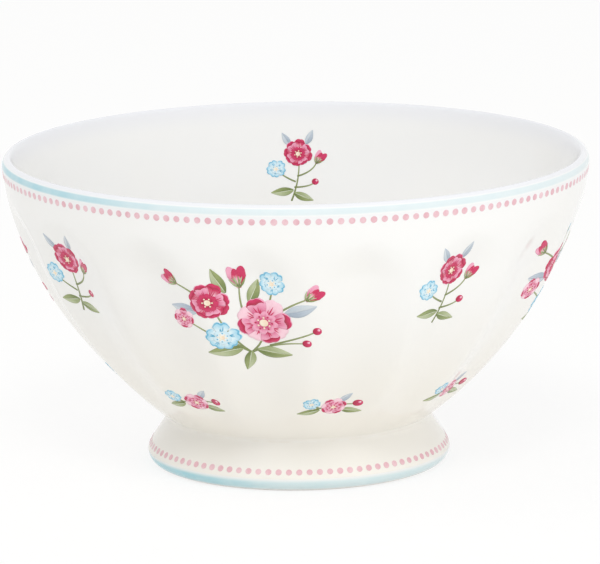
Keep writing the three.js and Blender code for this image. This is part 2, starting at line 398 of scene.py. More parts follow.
@dataclass
class CupWall:
    """The cup's profile: the same driving sizes as the CAD bowl, in metres."""

    rim_radius: float = 75.0 * MM
    height: float = 80.7 * MM
    lip_thickness: float = 3.8 * MM
    lip_rise: float = 3.0 * MM
    lip_ease: float = 12.0 * MM
    lip_arms: Pair = (1.3 * MM, 9.0 * MM)
    lip_handle: Pair = (3.2 * MM, 28.8 * MM)
    neck_radius: float = 34.4 * MM
    neck_height: float = 12.5 * MM
    neck_fillet: float = 0.8 * MM
    belly_handle: Pair = (17.5 * MM, 13.2 * MM)
    wall: float = 5.0 * MM
    wall_thinning: float = 0.28
    floor: float = 5.5 * MM
    floor_turn: float = 0.16
    floor_ease: float = 10.0 * MM
    flutes: Flutes = field(default_factory=Flutes)
    SAMPLES: ClassVar[int] = 800
    NUDGE: ClassVar[float] = 0.001

    def __post_init__(self) -> None:
        """Work out the outer Bezier stretch and its length."""
        self.belly_turn = math.atan2(*self.belly_handle)
        self.lip_flare = math.atan2(*self.lip_handle)
        self.fillet_centre = (self.neck_radius + self.neck_fillet, self.neck_height)
        start = arc(self.fillet_centre, self.neck_fillet, math.pi, math.pi - self.belly_turn, 1)[1]
        across, along = math.sin(self.lip_flare), math.cos(self.lip_flare)
        half = 0.5 * self.lip_thickness
        crown = math.hypot(half * across, self.lip_rise * along)
        stop = np.array([self.rim_radius, self.height - crown - half * across])
        self.controls = np.array([start, start + self.belly_handle, stop - self.lip_handle, stop])
        self.lip_axes = np.array([[along, -across], [across, along]])
        self.lip_centre = stop - half * self.lip_axes[0]
        self.flute_sizes = self.flutes.sizes(self)
        self._t = line(0.0, 1.0, self.SAMPLES)
        steps = np.linalg.norm(np.diff(self.outer(self._t), axis=0), axis=1)
        self._run = np.concatenate([[0.0], np.cumsum(steps)])
        self.length = float(self._run[-1])
        self.lip_foot = float(self.at_length(np.array([self.length - self.lip_ease]))[0])

    def at_length(self, run: np.ndarray) -> np.ndarray:
        """Curve parameters at distances along the outer wall from its low end."""
        return np.interp(run, self._run, self._t)

    def at_height(self, height: float) -> float:
        """Curve parameter at which the outer wall reaches a height."""
        return float(np.interp(height, self.outer(self._t)[:, 1], self._t))

    def outer(self, t: np.ndarray) -> np.ndarray:
        """Radius and height of the plain outer wall."""
        return bezier(self.controls, t)

    def normal(self, t: np.ndarray) -> np.ndarray:
        """Outward normal of the plain outer wall."""
        along = unit(bezier(np.diff(self.controls, axis=0), t))
        return np.stack([along[:, 1], -along[:, 0]], -1)

    def inner(self, t: np.ndarray) -> np.ndarray:
        """Radius and height of the inner wall.

        Args:
            t: Curve parameters up the wall.

        Returns:
            Rows of radius and height.
        """
        extra = self.wall - self.lip_thickness
        thickness = self.lip_thickness + extra * eased((1.0 - t) / self.wall_thinning)
        return self.outer(t) - self.normal(t) * thickness[:, None]

    def lip(self, angles: np.ndarray) -> np.ndarray:
        """Radius and height on the lip: a quarter of an ellipse from the outside at 0 to its top.

        Args:
            angles: Angles from 0 to a quarter turn.

        Returns:
            Rows of radius and height.
        """
        half = 0.5 * self.lip_thickness
        turns = np.stack([half * np.cos(angles), self.lip_rise * np.sin(angles)], -1)
        return self.lip_centre + turns @ self.lip_axes

    def lip_normal(self, angles: np.ndarray) -> np.ndarray:
        """Outward normal of the lip."""
        half = 0.5 * self.lip_thickness
        return unit(np.stack([self.lip_rise * np.cos(angles), half * np.sin(angles)], -1) @ self.lip_axes)

    def lip_inside(self, count: int) -> np.ndarray:
        """The easy curve from the top of the lip down into the inner wall.

        Args:
            count: How many steps it has.

        Returns:
            Rows of radius and height.
        """
        top = self.lip(np.array([0.5 * math.pi]))[0]
        foot, above = self.inner(self.lip_foot + np.array([0.0, self.NUDGE]))
        inward, upward = self.lip_arms
        arms = [top - inward * self.lip_axes[0], foot + upward * unit(above - foot)]
        return curve([top, *arms, foot], count)

    def floor_curve(self, count: int) -> np.ndarray:
        """The turn from the inner wall into the flat floor.

        Args:
            count: How many steps it has.

        Returns:
            Rows of radius and height.
        """
        turn = np.array([self.floor_turn])
        start = self.inner(turn)[0]
        across, down = self.normal(turn)[0]
        level = self.neck_height + self.floor
        corner = start[0] + (start[1] - level) * down / across
        return curve([start, [corner, level], [corner - self.floor_ease, level]], count)

    def place(self, angle: np.ndarray, t: np.ndarray, lift: np.ndarray, side: int) -> np.ndarray:
        """Points on the finished wall.

        Args:
            angle: Angle round the bowl.
            t: Curve parameter up the wall.
            lift: Distance off the glaze, outwards or into the bowl.
            side: 1 for the outside and -1 for the inside.

        Returns:
            Points as rows of x, y and z.
        """
        base = self.outer(t) if side > 0 else self.inner(t)
        inset = flute_inset(angle, base[:, 0], base[:, 1], self.flute_sizes) if side > 0 else 0.0
        point = base + self.normal(t) * (side * lift)[:, None]
        radius = point[:, 0] - inset
        return np.stack([radius * np.sin(angle), -radius * np.cos(angle), point[:, 1]], -1)


# Finishes


class Slot(Enum):
    """The record's material slots."""

    PORCELAIN = "porcelain"
    SLIP = "slip"
    BLUE_ENAMEL = "blue_enamel"
    PINK_PRINT = "pink_print"
    FLOWER_PRINT = "flower_print"


TINT = "tint"
PRINT_MAP = "print"
GLOSS_IOR = 1.5
NOISE_SPREAD = (0.3, 0.7)


class Finish(Graph):
    """A material on a Principled shader, with short calls for its patterns."""

    def __init__(self, name: str) -> None:
        """Make the material.

        Args:
            name: The material's name.
        """
        self.material = bpy.data.materials.new(name)
        self.material.use_nodes = True
        super().__init__(self.material.node_tree)
        self.shader = self.tree.nodes["Principled BSDF"]

    def set(self, **values: object) -> None:
        """Set or link the shader's inputs, with underscores for the spaces in their names."""
        for name, value in values.items():
            feed(self.tree, self.shader.inputs[name.replace("_", " ")], value)

    def place(self) -> Wire:
        """Object coordinates."""
        return self.wire("ShaderNodeTexCoord", "Object")

    def axis(self, name: str) -> Wire:
        """One of the Object coordinates: X, Y or Z."""
        return self.wire("ShaderNodeSeparateXYZ", name, {"Vector": self.place()})

    def noise(self, size: float, detail: float = 2.0) -> Wire:
        """Noise on Object coordinates, with marks of about that size in metres."""
        inputs = {"Vector": self.place(), "Scale": 1.0 / size, "Detail": detail}
        return self.wire("ShaderNodeTexNoise", "Fac", inputs)

    def span(self, value: Wire, low: float, high: float, start: float = 0.0, stop: float = 1.0) -> Wire:
        """Turn a range of a value into another range, eased at both ends."""
        inputs = {"Value": value, "From Min": low, "From Max": high, "To Min": start, "To Max": stop}
        return self.wire("ShaderNodeMapRange", "Result", inputs, interpolation_type="SMOOTHSTEP")

    def mottle(self, size: float, low: float, high: float, detail: float = 2.0) -> Wire:
        """Noise of that size, spread over a range of values."""
        return self.span(self.noise(size, detail), *NOISE_SPREAD, low, high)

    def mix(self, share: Field, first: object, second: object) -> Wire:
        """Mix two colours."""
        inputs = {"Factor": share, "A": first, "B": second}
        return self.wire("ShaderNodeMix", "Result", inputs, data_type="RGBA")

    def bump(self, height: Wire, distance: float) -> None:
        """Raise the surface by a height between 0 and 1 times a distance."""
        inputs = {"Height": height, "Distance": distance, "Strength": 1.0}
        self.set(Normal=self.wire("ShaderNodeBump", "Normal", inputs))


@dataclass(frozen=True)
class Glaze:
    """Clear glaze over white porcelain, wiped off the face that the foot rests on."""

    name: str = "porcelain_glaze"
    white: Colour = linear(240, 240, 239)
    # Warmer tone towards the bottom: partly glaze pooled low in the bowl, partly painted warm shade on the
    # lower wall and under the belly.
    pooled_and_shade: Colour = linear(240, 237, 230)
    # Greyer, cooler glaze over the top of the lip: painted shade with a painted cool reflection that holds
    # the lip below white.
    lip: Colour = linear(231, 232, 236)
    biscuit: Colour = linear(236, 229, 216)
    pool_and_shade_height: Pair = (60.0 * MM, 8.0 * MM)
    lip_shade_height: Pair = (74.0 * MM, 81.5 * MM)
    cloud: float = 38.0 * MM
    cloud_share: Pair = (-0.15, 0.15)
    ripple: float = 9.0 * MM
    ripple_depth: float = 0.02 * MM
    grain: float = 0.5 * MM
    gloss: Pair = (0.09, 0.15)
    bare_gloss: Pair = (0.55, 0.75)
    bare_height: Pair = (0.25 * MM, 0.55 * MM)

    def material(self) -> bpy.types.Material:
        """Build the glaze's nodes.

        Returns:
            The material.
        """
        finish = Finish(self.name)
        glazed = finish.span(finish.axis("Z"), *self.bare_height)
        # Painted warm shade and pooled glaze: the tone warms from 60 mm down to 8 mm, inside and out.
        pool_and_shade = finish.span(finish.axis("Z"), *self.pool_and_shade_height)
        cloud = finish.mottle(self.cloud, *self.cloud_share)
        tone = finish.mix(pool_and_shade.maths("ADD", pool_and_shade, cloud, clamp=True), self.white, self.pooled_and_shade)
        # Painted shade and cool reflection over the top of the lip, from 74 mm up, inside and out.
        tone = finish.mix(finish.span(finish.axis("Z"), *self.lip_shade_height), tone, self.lip)
        clay = finish.mix(finish.noise(self.grain), self.biscuit, self.pooled_and_shade)
        smooth = finish.mottle(self.ripple, *self.gloss)
        dry = finish.mottle(self.grain, *self.bare_gloss)
        finish.set(Base_Color=finish.mix(glazed, clay, tone), IOR=GLOSS_IOR)
        finish.set(Roughness=dry + (smooth - dry) * glazed)
        finish.bump(finish.noise(self.ripple, detail=1.0), self.ripple_depth)
        return finish.material


@dataclass(frozen=True)
class Slip:
    """The ring of dried slip under the same glaze, a little creamier."""

    name: str = "glazed_slip"
    pale: Colour = linear(240, 238, 232)
    cream: Colour = linear(238, 234, 226)
    lump: float = 4.0 * MM
    lump_depth: float = 0.05 * MM
    gloss: Pair = (0.14, 0.24)

    def material(self) -> bpy.types.Material:
        """Build the slip's nodes.

        Returns:
            The material.
        """
        finish = Finish(self.name)
        lumps = finish.noise(self.lump, detail=3.0)
        tone = finish.mix(finish.span(lumps, *NOISE_SPREAD), self.pale, self.cream)
        finish.set(Base_Color=tone, IOR=GLOSS_IOR)
        finish.set(Roughness=finish.span(lumps, *NOISE_SPREAD, *self.gloss))
        finish.bump(lumps, self.lump_depth)
        return finish.material


@dataclass(frozen=True)
class Enamel:
    """Pale enamel banded on by hand and thin at its edges, with painted shade deepening it on the left and
    painted highlight paling it towards the front and right.
    """

    name: str
    shade_to_highlight_x: Pair
    full: Colour = linear(158, 204, 216)
    bare: Colour = linear(239, 240, 239)
    shade_to_highlight_share: Pair = (1.0, 0.4)
    brush: float = 5.0 * MM
    stroke: Pair = (0.82, 1.0)
    gloss: Pair = (0.10, 0.17)
    thickness: float = 0.025 * MM
    root: float = 0.05 * MM

    def material(self) -> bpy.types.Material:
        """Build the enamel's nodes.

        Returns:
            The material.
        """
        finish = Finish(self.name)
        tint = finish.wire("ShaderNodeAttribute", "Fac", attribute_name=TINT)
        # Painted light: full colour on the left where the band lies in shade, fading to a painted highlight
        # towards the front and right.
        turn = finish.span(finish.axis("X"), *self.shade_to_highlight_x, *self.shade_to_highlight_share)
        stroke = finish.mottle(self.brush, *self.stroke, detail=3.0)
        finish.set(Base_Color=finish.mix(tint * turn * stroke, self.bare, self.full), IOR=GLOSS_IOR)
        finish.set(Roughness=finish.mottle(self.brush, *self.gloss))
        return finish.material


@dataclass(frozen=True)
class DotInk:
    """Pink ink of the dotted borders, a little thinner in some dots than in others."""

    name: str
    full: Colour
    thin: Colour
    patch: float = 3.5 * MM
    patch_share: float = 0.7
    grain: float = 0.35 * MM
    wear: Pair = (0.35, 0.7)
    gloss: Pair = (0.12, 0.2)

    def material(self) -> bpy.types.Material:
        """Build the ink's nodes.

        Returns:
            The material.
        """
        finish = Finish(self.name)
        patch = finish.noise(self.patch) * self.patch_share
        wear = patch + finish.noise(self.grain) * (1.0 - self.patch_share)
        tone = finish.mix(finish.span(wear, *self.wear), self.full, self.thin)
        finish.set(Base_Color=tone, IOR=GLOSS_IOR)
        finish.set(Roughness=finish.span(wear, *NOISE_SPREAD, *self.gloss))
        return finish.material


@dataclass(frozen=True)
class PrintInk:
    """Ink of a drawn shape: one colour at its root, another at its tip, with brushed streaks between."""

    root: Colour
    tip: Colour
    turn: Pair = (0.1, 0.8)
    streak: float = 0.25
    streaks: float = 5.0
    streak_run: float = 0.6
    streak_shift: float = 0.2 / MM
    grain: float = 0.6 * MM
    fleck: Pair = (-0.08, 0.08)
    gloss: Pair = (0.12, 0.2)

    def material(self, name: str) -> bpy.types.Material:
        """Build the ink's nodes.

        Args:
            name: The material's name.

        Returns:
            The material.
        """
        finish = Finish(name)
        along, across, _ = finish.parts(finish.wire("ShaderNodeUVMap", "UV", uv_map=PRINT_MAP))
        shift = finish.axis("X") * self.streak_shift
        brush = finish.vector(X=along * self.streak_run, Y=across * self.streaks, Z=shift)
        lines = finish.wire("ShaderNodeTexNoise", "Fac", {"Vector": brush, "Scale": 1.0, "Detail": 2.0})
        sway = (lines - 0.5) * (2.0 * self.streak)
        share = finish.span(along + sway, *self.turn)
        fleck = finish.mottle(self.grain, *self.fleck, detail=3.0)
        held = share.maths("ADD", share, fleck, clamp=True)
        finish.set(Base_Color=finish.mix(held, self.root, self.tip), IOR=GLOSS_IOR)
        finish.set(Roughness=finish.mottle(self.grain, *self.gloss))
        return finish.material


def hand_over(piece: bpy.types.Object, slot: Slot, *nodes: str) -> None:
    """Hang a piece on the root body, hide the CAD solids that it stands for and log it.

    Args:
        piece: The finished piece.
        slot: The record's material slot; not used.
        nodes: The CAD nodes that the piece replaces.
    """
    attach(piece, "root")
    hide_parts(*nodes)
    log.info("%s: %d faces for %s", piece.name, len(piece.data.polygons), ", ".join(nodes))


# Turned pieces


class SpinTree(NodeModifier):
    """Turns a profile about the axis and sinks the flutes into the rows marked for them."""

    FLUTE = "flute"
    SHARP = math.radians(35.0)
    WELD = 0.0005 * MM

    def __init__(self, cup: CupWall) -> None:
        """Build the tree.

        Args:
            cup: The cup whose flutes give the tree's default sizes.
        """
        super().__init__("turned_on_the_axis", {"Around": 256, **cup.flute_sizes})
        profile = self.size("Geometry")
        rows = self.wire("GeometryNodeAttributeDomainSize", "Point Count", {"Geometry": profile})
        counts = {"Vertices X": rows, "Vertices Y": self.size("Around") + 1.0}
        grid = self.wire("GeometryNodeMeshGrid", "Mesh", {"Size X": 1.0, "Size Y": 1.0, **counts})
        position = self.wire("GeometryNodeInputPosition", "Position")
        down, round_axis, _ = self.parts(position)
        row = (down + 0.5) * (rows - 1.0)
        row = row.maths("ROUND", row)
        angle = (round_axis + 0.5) * TAU + self.size("Phase")
        point = self.sampled(profile, position, row, "FLOAT_VECTOR")
        fluted = self.sampled(profile, self.named(self.FLUTE), row, "FLOAT")
        tint = self.sampled(profile, self.named(TINT), row, "FLOAT")
        radius, _, height = self.parts(point)
        sizes = {label: self.size(label) for label in cup.flute_sizes}
        turned = radius - fluted * flute_inset(angle, radius, height, sizes)
        sine = angle.maths("SINE", angle)
        target = self.vector(X=turned * sine, Y=turned * cosine(angle) * -1.0, Z=height)
        kept = {"Geometry": grid, "Name": TINT, "Value": tint}
        tinted = self.wire("GeometryNodeStoreNamedAttribute", "Geometry", kept, data_type="FLOAT")
        moved = {"Geometry": tinted, "Position": target}
        self.close(self.shaded(self.wire("GeometryNodeSetPosition", "Geometry", moved)))

    def named(self, attribute: str) -> Wire:
        """A number that the profile's points carry."""
        kind = "GeometryNodeInputNamedAttribute"
        return self.wire(kind, "Attribute", {"Name": attribute}, data_type="FLOAT")

    def sampled(self, profile: Wire, value: Wire, row: Wire, kind: str) -> Wire:
        """Read a value of the profile at a row."""
        inputs = {"Geometry": profile, "Value": value, "Index": row}
        return self.wire("GeometryNodeSampleIndex", "Value", inputs, data_type=kind)

    def shaded(self, spun: Wire) -> Wire:
        """Weld the seam and poles, turn the faces out and shade smooth between sharp corners.

        Args:
            spun: The turned grid.

        Returns:
            The finished mesh.
        """
        weld = {"Geometry": spun, "Distance": self.WELD}
        welded = self.wire("GeometryNodeMergeByDistance", "Geometry", weld)
        outward = self.wire("GeometryNodeFlipFaces", "Mesh", {"Mesh": welded})
        smooth = {"Geometry": outward, "Shade Smooth": True}
        soft = self.wire("GeometryNodeSetShadeSmooth", "Geometry", smooth, domain="FACE")
        bend = self.wire("GeometryNodeInputMeshEdgeAngle", "Unsigned Angle")
        corner = bend.maths("GREATER_THAN", bend, self.SHARP)
        crisp = {"Geometry": soft, "Selection": corner, "Shade Smooth": False}
        return self.wire("GeometryNodeSetShadeSmooth", "Geometry", crisp, domain="EDGE")


@dataclass
class Profile:
    """Half of a turned piece's cross-section, up its outside and down its inside."""

    points: np.ndarray
    fluted_rows: int = 0
    tint: np.ndarray | None = None

    def turn(self, spin: SpinTree, name: str, finish: bpy.types.Material, around: int) -> bpy.types.Object:
        """Turn the profile into a piece.

        Args:
            spin: The tree that turns it.
            name: The piece's name.
            finish: The piece's material.
            around: How many columns the piece has.

        Returns:
            The piece, as a plain mesh.
        """
        mesh = bpy.data.meshes.new(name)
        rows = [(radius, 0.0, height) for radius, height in self.points]
        mesh.from_pydata(rows, [(i, i + 1) for i in range(len(rows) - 1)], [])
        fluted = np.arange(len(rows)) < self.fluted_rows
        tint = np.zeros(len(rows)) if self.tint is None else self.tint
        for label, values in ((SpinTree.FLUTE, fluted), (TINT, tint)):
            mesh.attributes.new(label, "FLOAT", "POINT").data.foreach_set("value", values.astype(np.float32))
        return spin.run(new_object(name, mesh), {"Around": around, "Material": finish})


def skin(rows: np.ndarray, normals: np.ndarray, tint: np.ndarray, paint: Enamel) -> Profile:
    """A closed thin skin of enamel on rows of another profile.

    Args:
        rows: Radius and height of the rows beneath.
        normals: Their outward normals.
        tint: How dense the skin's colour is in each row.
        paint: The enamel, which stands off the rows and reaches a little below them.

    Returns:
        The skin's profile.
    """
    outside = rows + normals * paint.thickness
    inside = rows - normals * paint.root
    loop = np.concatenate([outside, inside[::-1], outside[:1]])
    return Profile(loop, tint=np.concatenate([tint, tint[::-1], tint[:1]]))


def edge_fade(count: int, soft: int) -> np.ndarray:
    """Density that rises over the first rows and falls over the last."""
    near = np.minimum(np.arange(count), np.arange(count)[::-1])
    return eased(near / soft)


@dataclass
class Cup:
    """The moulded cup with the enamel line on its lip."""

    wall: CupWall
    around: int = 384
    band_turn: Pair = (math.radians(9.0), math.radians(54.0))
    band_rows: int = 34
    band_soft: int = 9
    # The rim band is painted deep on the left as shade and pale from the front round to the right as
    # highlight.
    paint: Enamel = Enamel("rim_enamel", (-78.0 * MM, -14.0 * MM), shade_to_highlight_share=(1.0, 0.34))
    flat_rows: int = 6
    neck_rows: int = 8
    side_rows: int = 92
    lip_rows: int = 14
    over_rows: int = 18
    inside_rows: int = 48
    floor_rows: int = 12

    def outside(self) -> np.ndarray:
        """Rows from the centre of the underside out to the neck and up to the lip.

        Returns:
            Rows of radius and height.
        """
        wall = self.wall
        under = line([0.0, wall.neck_height], [wall.neck_radius, wall.neck_height], self.flat_rows)
        end = math.pi - wall.belly_turn
        turn = arc(wall.fillet_centre, wall.neck_fillet, math.pi, end, self.neck_rows)
        side = wall.outer(wall.at_length(line(0.0, wall.length, self.side_rows)))
        return chain(under, turn, side)

    def profile(self) -> Profile:
        """The whole cross-section of the cup.

        Returns:
            The profile, with the flutes on its outside.
        """
        wall = self.wall
        outside = self.outside()
        lip = wall.lip(line(0.0, 0.5 * math.pi, self.lip_rows))
        over = wall.lip_inside(self.over_rows)
        inside = wall.inner(line(wall.lip_foot, wall.floor_turn, self.inside_rows))
        floor = wall.floor_curve(self.floor_rows)
        middle = line(floor[-1], [0.0, floor[-1][1]], self.flat_rows)
        return Profile(chain(outside, lip, over, inside, floor, middle), fluted_rows=len(outside))

    def band(self) -> Profile:
        """The enamel round the outer side of the lip.

        Returns:
            The band's profile.
        """
        angles = np.linspace(*self.band_turn, self.band_rows)
        tint = edge_fade(self.band_rows, self.band_soft)
        return skin(self.wall.lip(angles), self.wall.lip_normal(angles), tint, self.paint)

    def build(self, spin: SpinTree, glaze: bpy.types.Material) -> None:
        """Make the cup and its band.

        Args:
            spin: The tree that turns profiles.
            glaze: The porcelain's material.
        """
        hand_over(self.profile().turn(spin, "glazed_cup", glaze, self.around), Slot.PORCELAIN, "bowl")
        band = self.band().turn(spin, "rim_enamel", self.paint.material(), self.around)
        hand_over(band, Slot.BLUE_ENAMEL, "rim_band")


@dataclass
class Foot:
    """The flared foot, the slip that joins it to the cup and the enamel line on its edge."""

    wall: CupWall
    radius: float = 38.9 * MM
    edge_round: float = 3.6 * MM
    handles: Pair = (1.6 * MM, 1.8 * MM)
    thickness: float = 5.1 * MM
    bearing: float = 4.4 * MM
    ease: float = 0.6 * MM
    slip: float = 0.5 * MM
    slip_bead: float = 0.7 * MM
    band_low: float = math.radians(-60.0)
    band_rows: int = 26
    band_soft: int = 8
    # The foot band is painted deep on the left as shade and pale from the front round to the right as
    # highlight.
    paint: Enamel = Enamel("foot_enamel", (-38.0 * MM, 2.0 * MM), linear(152, 212, 226))
    around: int = 288
    edge_rows: int = 20
    flare_rows: int = 32
    flat_rows: int = 4
    wall_rows: int = 14
    turn_rows: int = 6
    bead_rows: int = 12
    SAMPLES: ClassVar[int] = 400

    def __post_init__(self) -> None:
        """Work out the flare and the recess."""
        self.neck = self.wall.neck_radius
        self.top = self.wall.neck_height - self.slip
        self.recess = self.neck - self.thickness
        self.round_centre = (self.radius - self.edge_round, self.edge_round)
        low, high = self.handles
        self.flare = np.array([
            [self.radius, self.edge_round],
            [self.radius, self.edge_round + low],
            [self.neck, self.top - high],
            [self.neck, self.top],
        ])

    def on_flare(self, height: float) -> tuple[np.ndarray, np.ndarray]:
        """Point and outward normal of the flare at a height.

        Args:
            height: The height.

        Returns:
            The point and the normal, each as radius and height.
        """
        t = line(0.0, 1.0, self.SAMPLES)
        share = np.interp([height], bezier(self.flare, t)[:, 1], t)
        along = unit(bezier(np.diff(self.flare, axis=0), share))[0]
        return bezier(self.flare, share)[0], np.array([along[1], -along[0]])

    def profile(self) -> Profile:
        """The foot's cross-section, from its resting face up the flare and down the recess.

        Returns:
            The profile.
        """
        inner = self.round_centre[0] - self.bearing
        edge = arc(self.round_centre, self.edge_round, -0.5 * math.pi, 0.0, self.edge_rows)
        flare = curve(self.flare, self.flare_rows)
        top = line([self.neck, self.top], [self.recess, self.top], self.flat_rows)
        chamfer = (inner - self.ease, self.ease)
        wall = line([self.recess, self.top], chamfer, self.wall_rows)
        turn = curve([chamfer, [inner - 0.5 * self.ease, 0.0], [inner, 0.0]], self.turn_rows)
        rest = line([inner, 0.0], edge[0], self.flat_rows)
        return Profile(chain(edge, flare, top, wall, turn, rest))

    def slip_profile(self) -> Profile:
        """The slip between foot and cup, with the bead that squeezed out into the recess.

        Returns:
            The profile.
        """
        middle = self.top + 0.5 * self.slip
        bead = arc((self.recess, middle), 0.5 * self.slip, 0.5 * math.pi, 1.5 * math.pi, self.bead_rows)
        bead[:, 0] -= (self.slip_bead - 0.5 * self.slip) * np.sin(np.linspace(0.0, math.pi, len(bead)))
        outside = line([self.neck, self.top], [self.neck, self.top + self.slip], self.flat_rows - 1)
        return Profile(np.concatenate([outside, bead, outside[:1]]))

    def band(self) -> Profile:
        """The enamel on the rounded edge of the foot.

        Returns:
            The band's profile.
        """
        angles = np.linspace(self.band_low, 0.0, self.band_rows)
        curl = np.stack([np.cos(angles), np.sin(angles)], -1)
        rows = self.round_centre + self.edge_round * curl
        return skin(rows, curl, edge_fade(self.band_rows, self.band_soft), self.paint)

    def build(self, spin: SpinTree, glaze: bpy.types.Material) -> None:
        """Make the foot, its slip and its band.

        Args:
            spin: The tree that turns profiles.
            glaze: The porcelain's material.
        """
        hand_over(self.profile().turn(spin, "glazed_foot", glaze, self.around), Slot.PORCELAIN, "foot_ring")
        slip = self.slip_profile().turn(spin, "luting_ring", Slip().material(), self.around)
        hand_over(slip, Slot.SLIP, "luting_slip")
        band = self.band().turn(spin, "foot_enamel", self.paint.material(), self.around)
        hand_over(band, Slot.BLUE_ENAMEL, "foot_band")


# Dotted borders


class DotTree(NodeModifier):
    """Sets thin round dots on a ring round the axis, flat on the wall there."""

    def __init__(self) -> None:
        """Build the tree."""
        super().__init__("dots_on_a_ring", {
            "Dots": 172, "Ring Radius": 0.075, "Height": 0.076, "Tilt": 0.0, "Dot Radius": 0.0008,
            "Dot Depth": 0.0001, "Sides": 14, "Uneven": 0.05, "Phase": 0.0, "Seed": 7,
        })
        ring = {"Vertices": self.size("Dots"), "Radius": self.size("Ring Radius")}
        place = {
            "Geometry": self.wire("GeometryNodeMeshCircle", "Mesh", ring),
            "Translation": self.vector(Z=self.size("Height")),
            "Rotation": self.vector(Z=self.size("Phase")),
        }
        points = self.wire("GeometryNodeTransform", "Geometry", place)
        x, y, _ = self.parts(self.wire("GeometryNodeInputPosition", "Position"))
        tilt = self.size("Tilt")
        share = cosine(tilt) / self.size("Ring Radius")
        normal = self.vector(X=x * share, Y=y * share, Z=tilt.maths("SINE", tilt))
        aligned = self.wire("FunctionNodeAlignRotationToVector", "Rotation", {"Vector": normal}, axis="Z")
        coin = {
            "Vertices": self.size("Sides"),
            "Radius": self.size("Dot Radius"),
            "Depth": self.size("Dot Depth"),
        }
        dot = self.wire("GeometryNodeMeshCylinder", "Mesh", coin)
        uneven = self.size("Uneven")
        spread = {"Min": 1.0 - uneven, "Max": 1.0 + uneven, "Seed": self.size("Seed")}
        scale = self.wire("FunctionNodeRandomValue", "Value", spread, data_type="FLOAT")
        laid = {"Points": points, "Instance": dot, "Rotation": aligned}
        laid["Scale"] = self.vector(X=scale, Y=scale, Z=1.0)
        self.close(self.wire("GeometryNodeInstanceOnPoints", "Instances", laid))


@dataclass(frozen=True)
class DotBorder:
    """One ring of printed dots."""

    name: str
    node: str
    ink: DotInk
    dots: int
    dot_radius: float
    seed: int
    depth: float = 0.07 * MM

    def build(self, tree: DotTree, point: np.ndarray, normal: np.ndarray) -> None:
        """Lay the ring on a wall.

        Args:
            tree: The tree that sets dots.
            point: Radius and height of the wall under the dots.
            normal: The wall's outward normal there.
        """
        piece = tree.run(new_object(self.name, bpy.data.meshes.new(self.name)), {
            "Dots": self.dots, "Ring Radius": float(point[0]), "Height": float(point[1]),
            "Tilt": math.atan2(normal[1], normal[0]), "Dot Radius": self.dot_radius,
            "Dot Depth": self.depth, "Seed": self.seed, "Material": self.ink.material(),
        })
        hand_over(piece, Slot.PINK_PRINT, self.node)


# Printed flowers, drawn flat in millimetres


class Ink(Enum):
    """The inks of the printed flowers."""

    BLUSH = PrintInk(linear(232, 138, 174), linear(247, 208, 221))
    PINK = PrintInk(linear(205, 62, 116), linear(238, 166, 193))
    RASPBERRY = PrintInk(linear(176, 18, 66), linear(205, 44, 96))
    PETAL_EDGE = PrintInk(linear(244, 196, 212), linear(200, 36, 88), turn=(0.25, 0.75))
    CREAM = PrintInk(linear(247, 236, 214), linear(243, 222, 196))
    SKY = PrintInk(linear(228, 243, 248), linear(158, 212, 235), turn=(0.2, 1.0))
    LAKE = PrintInk(linear(120, 190, 220), linear(104, 180, 214))
    ICE = PrintInk(linear(236, 246, 249), linear(206, 232, 243))
    STALK = PrintInk(linear(126, 138, 84), linear(148, 158, 108))
    SAGE = PrintInk(linear(150, 163, 112), linear(184, 193, 156))
    OLIVE = PrintInk(linear(112, 128, 70), linear(148, 160, 104))
    MIST = PrintInk(linear(186, 197, 208), linear(206, 214, 221))
    SLATE = PrintInk(linear(160, 174, 190), linear(186, 197, 209))
    VEIN = PrintInk(linear(222, 227, 205), linear(204, 212, 182))


Flat = tuple[np.ndarray, np.ndarray]
Shape = Callable[[np.ndarray, np.ndarray], Flat]


@dataclass(frozen=True)
class Spot:
    """Where a drawn shape starts on the flat print, and which way it points."""

    x: float = 0.0
    y: float = 0.0
    degrees: float = 0.0

    def ahead(self, distance: float) -> "Spot":
        """The same direction from a point further on."""
        turn = math.radians(self.degrees)
        return Spot(self.x + distance * math.cos(turn), self.y + distance * math.sin(turn), self.degrees)

    def facing(self, degrees: float) -> "Spot":
        """The same point with that direction."""
        return Spot(self.x, self.y, degrees)

    def turned(self, degrees: float) -> "Spot":
        """The same point with its direction turned."""
        return self.facing(self.degrees + degrees)

    def place(self, along: np.ndarray, across: np.ndarray) -> Flat:
        """Flat coordinates of points given along and across the direction.

        Args:
            along: Distances along it.
            across: Distances to its left.

        Returns:
            Their x and y.
        """
        turn = math.radians(self.degrees)
        x = self.x + along * math.cos(turn) - across * math.sin(turn)
        y = self.y + along * math.sin(turn) + across * math.cos(turn)
        return x, y


BITE_WIDTH = 0.25
EDGE_LEAST = 0.15
EDGE_TAPER = 0.47 * math.pi
EDGE_WIDTH = 0.45
STREAK_START = 0.08
STREAK_RUN = 0.86
LEAF_START = 0.03
LEAF_RUN = 0.94
LEAF_SKEW = 0.85
STALK_TAPER = 0.4


def rounded_end(v: np.ndarray, top: float, spread: float, crown: float, bite: float) -> np.ndarray:
    """How far a petal reaches at each place across it, as a share of its length."""
    rounding = crown * (1.0 - np.sqrt(1.0 - (spread * v) ** 2))
    return top - rounding - bite * np.exp(-((v / BITE_WIDTH) ** 2))


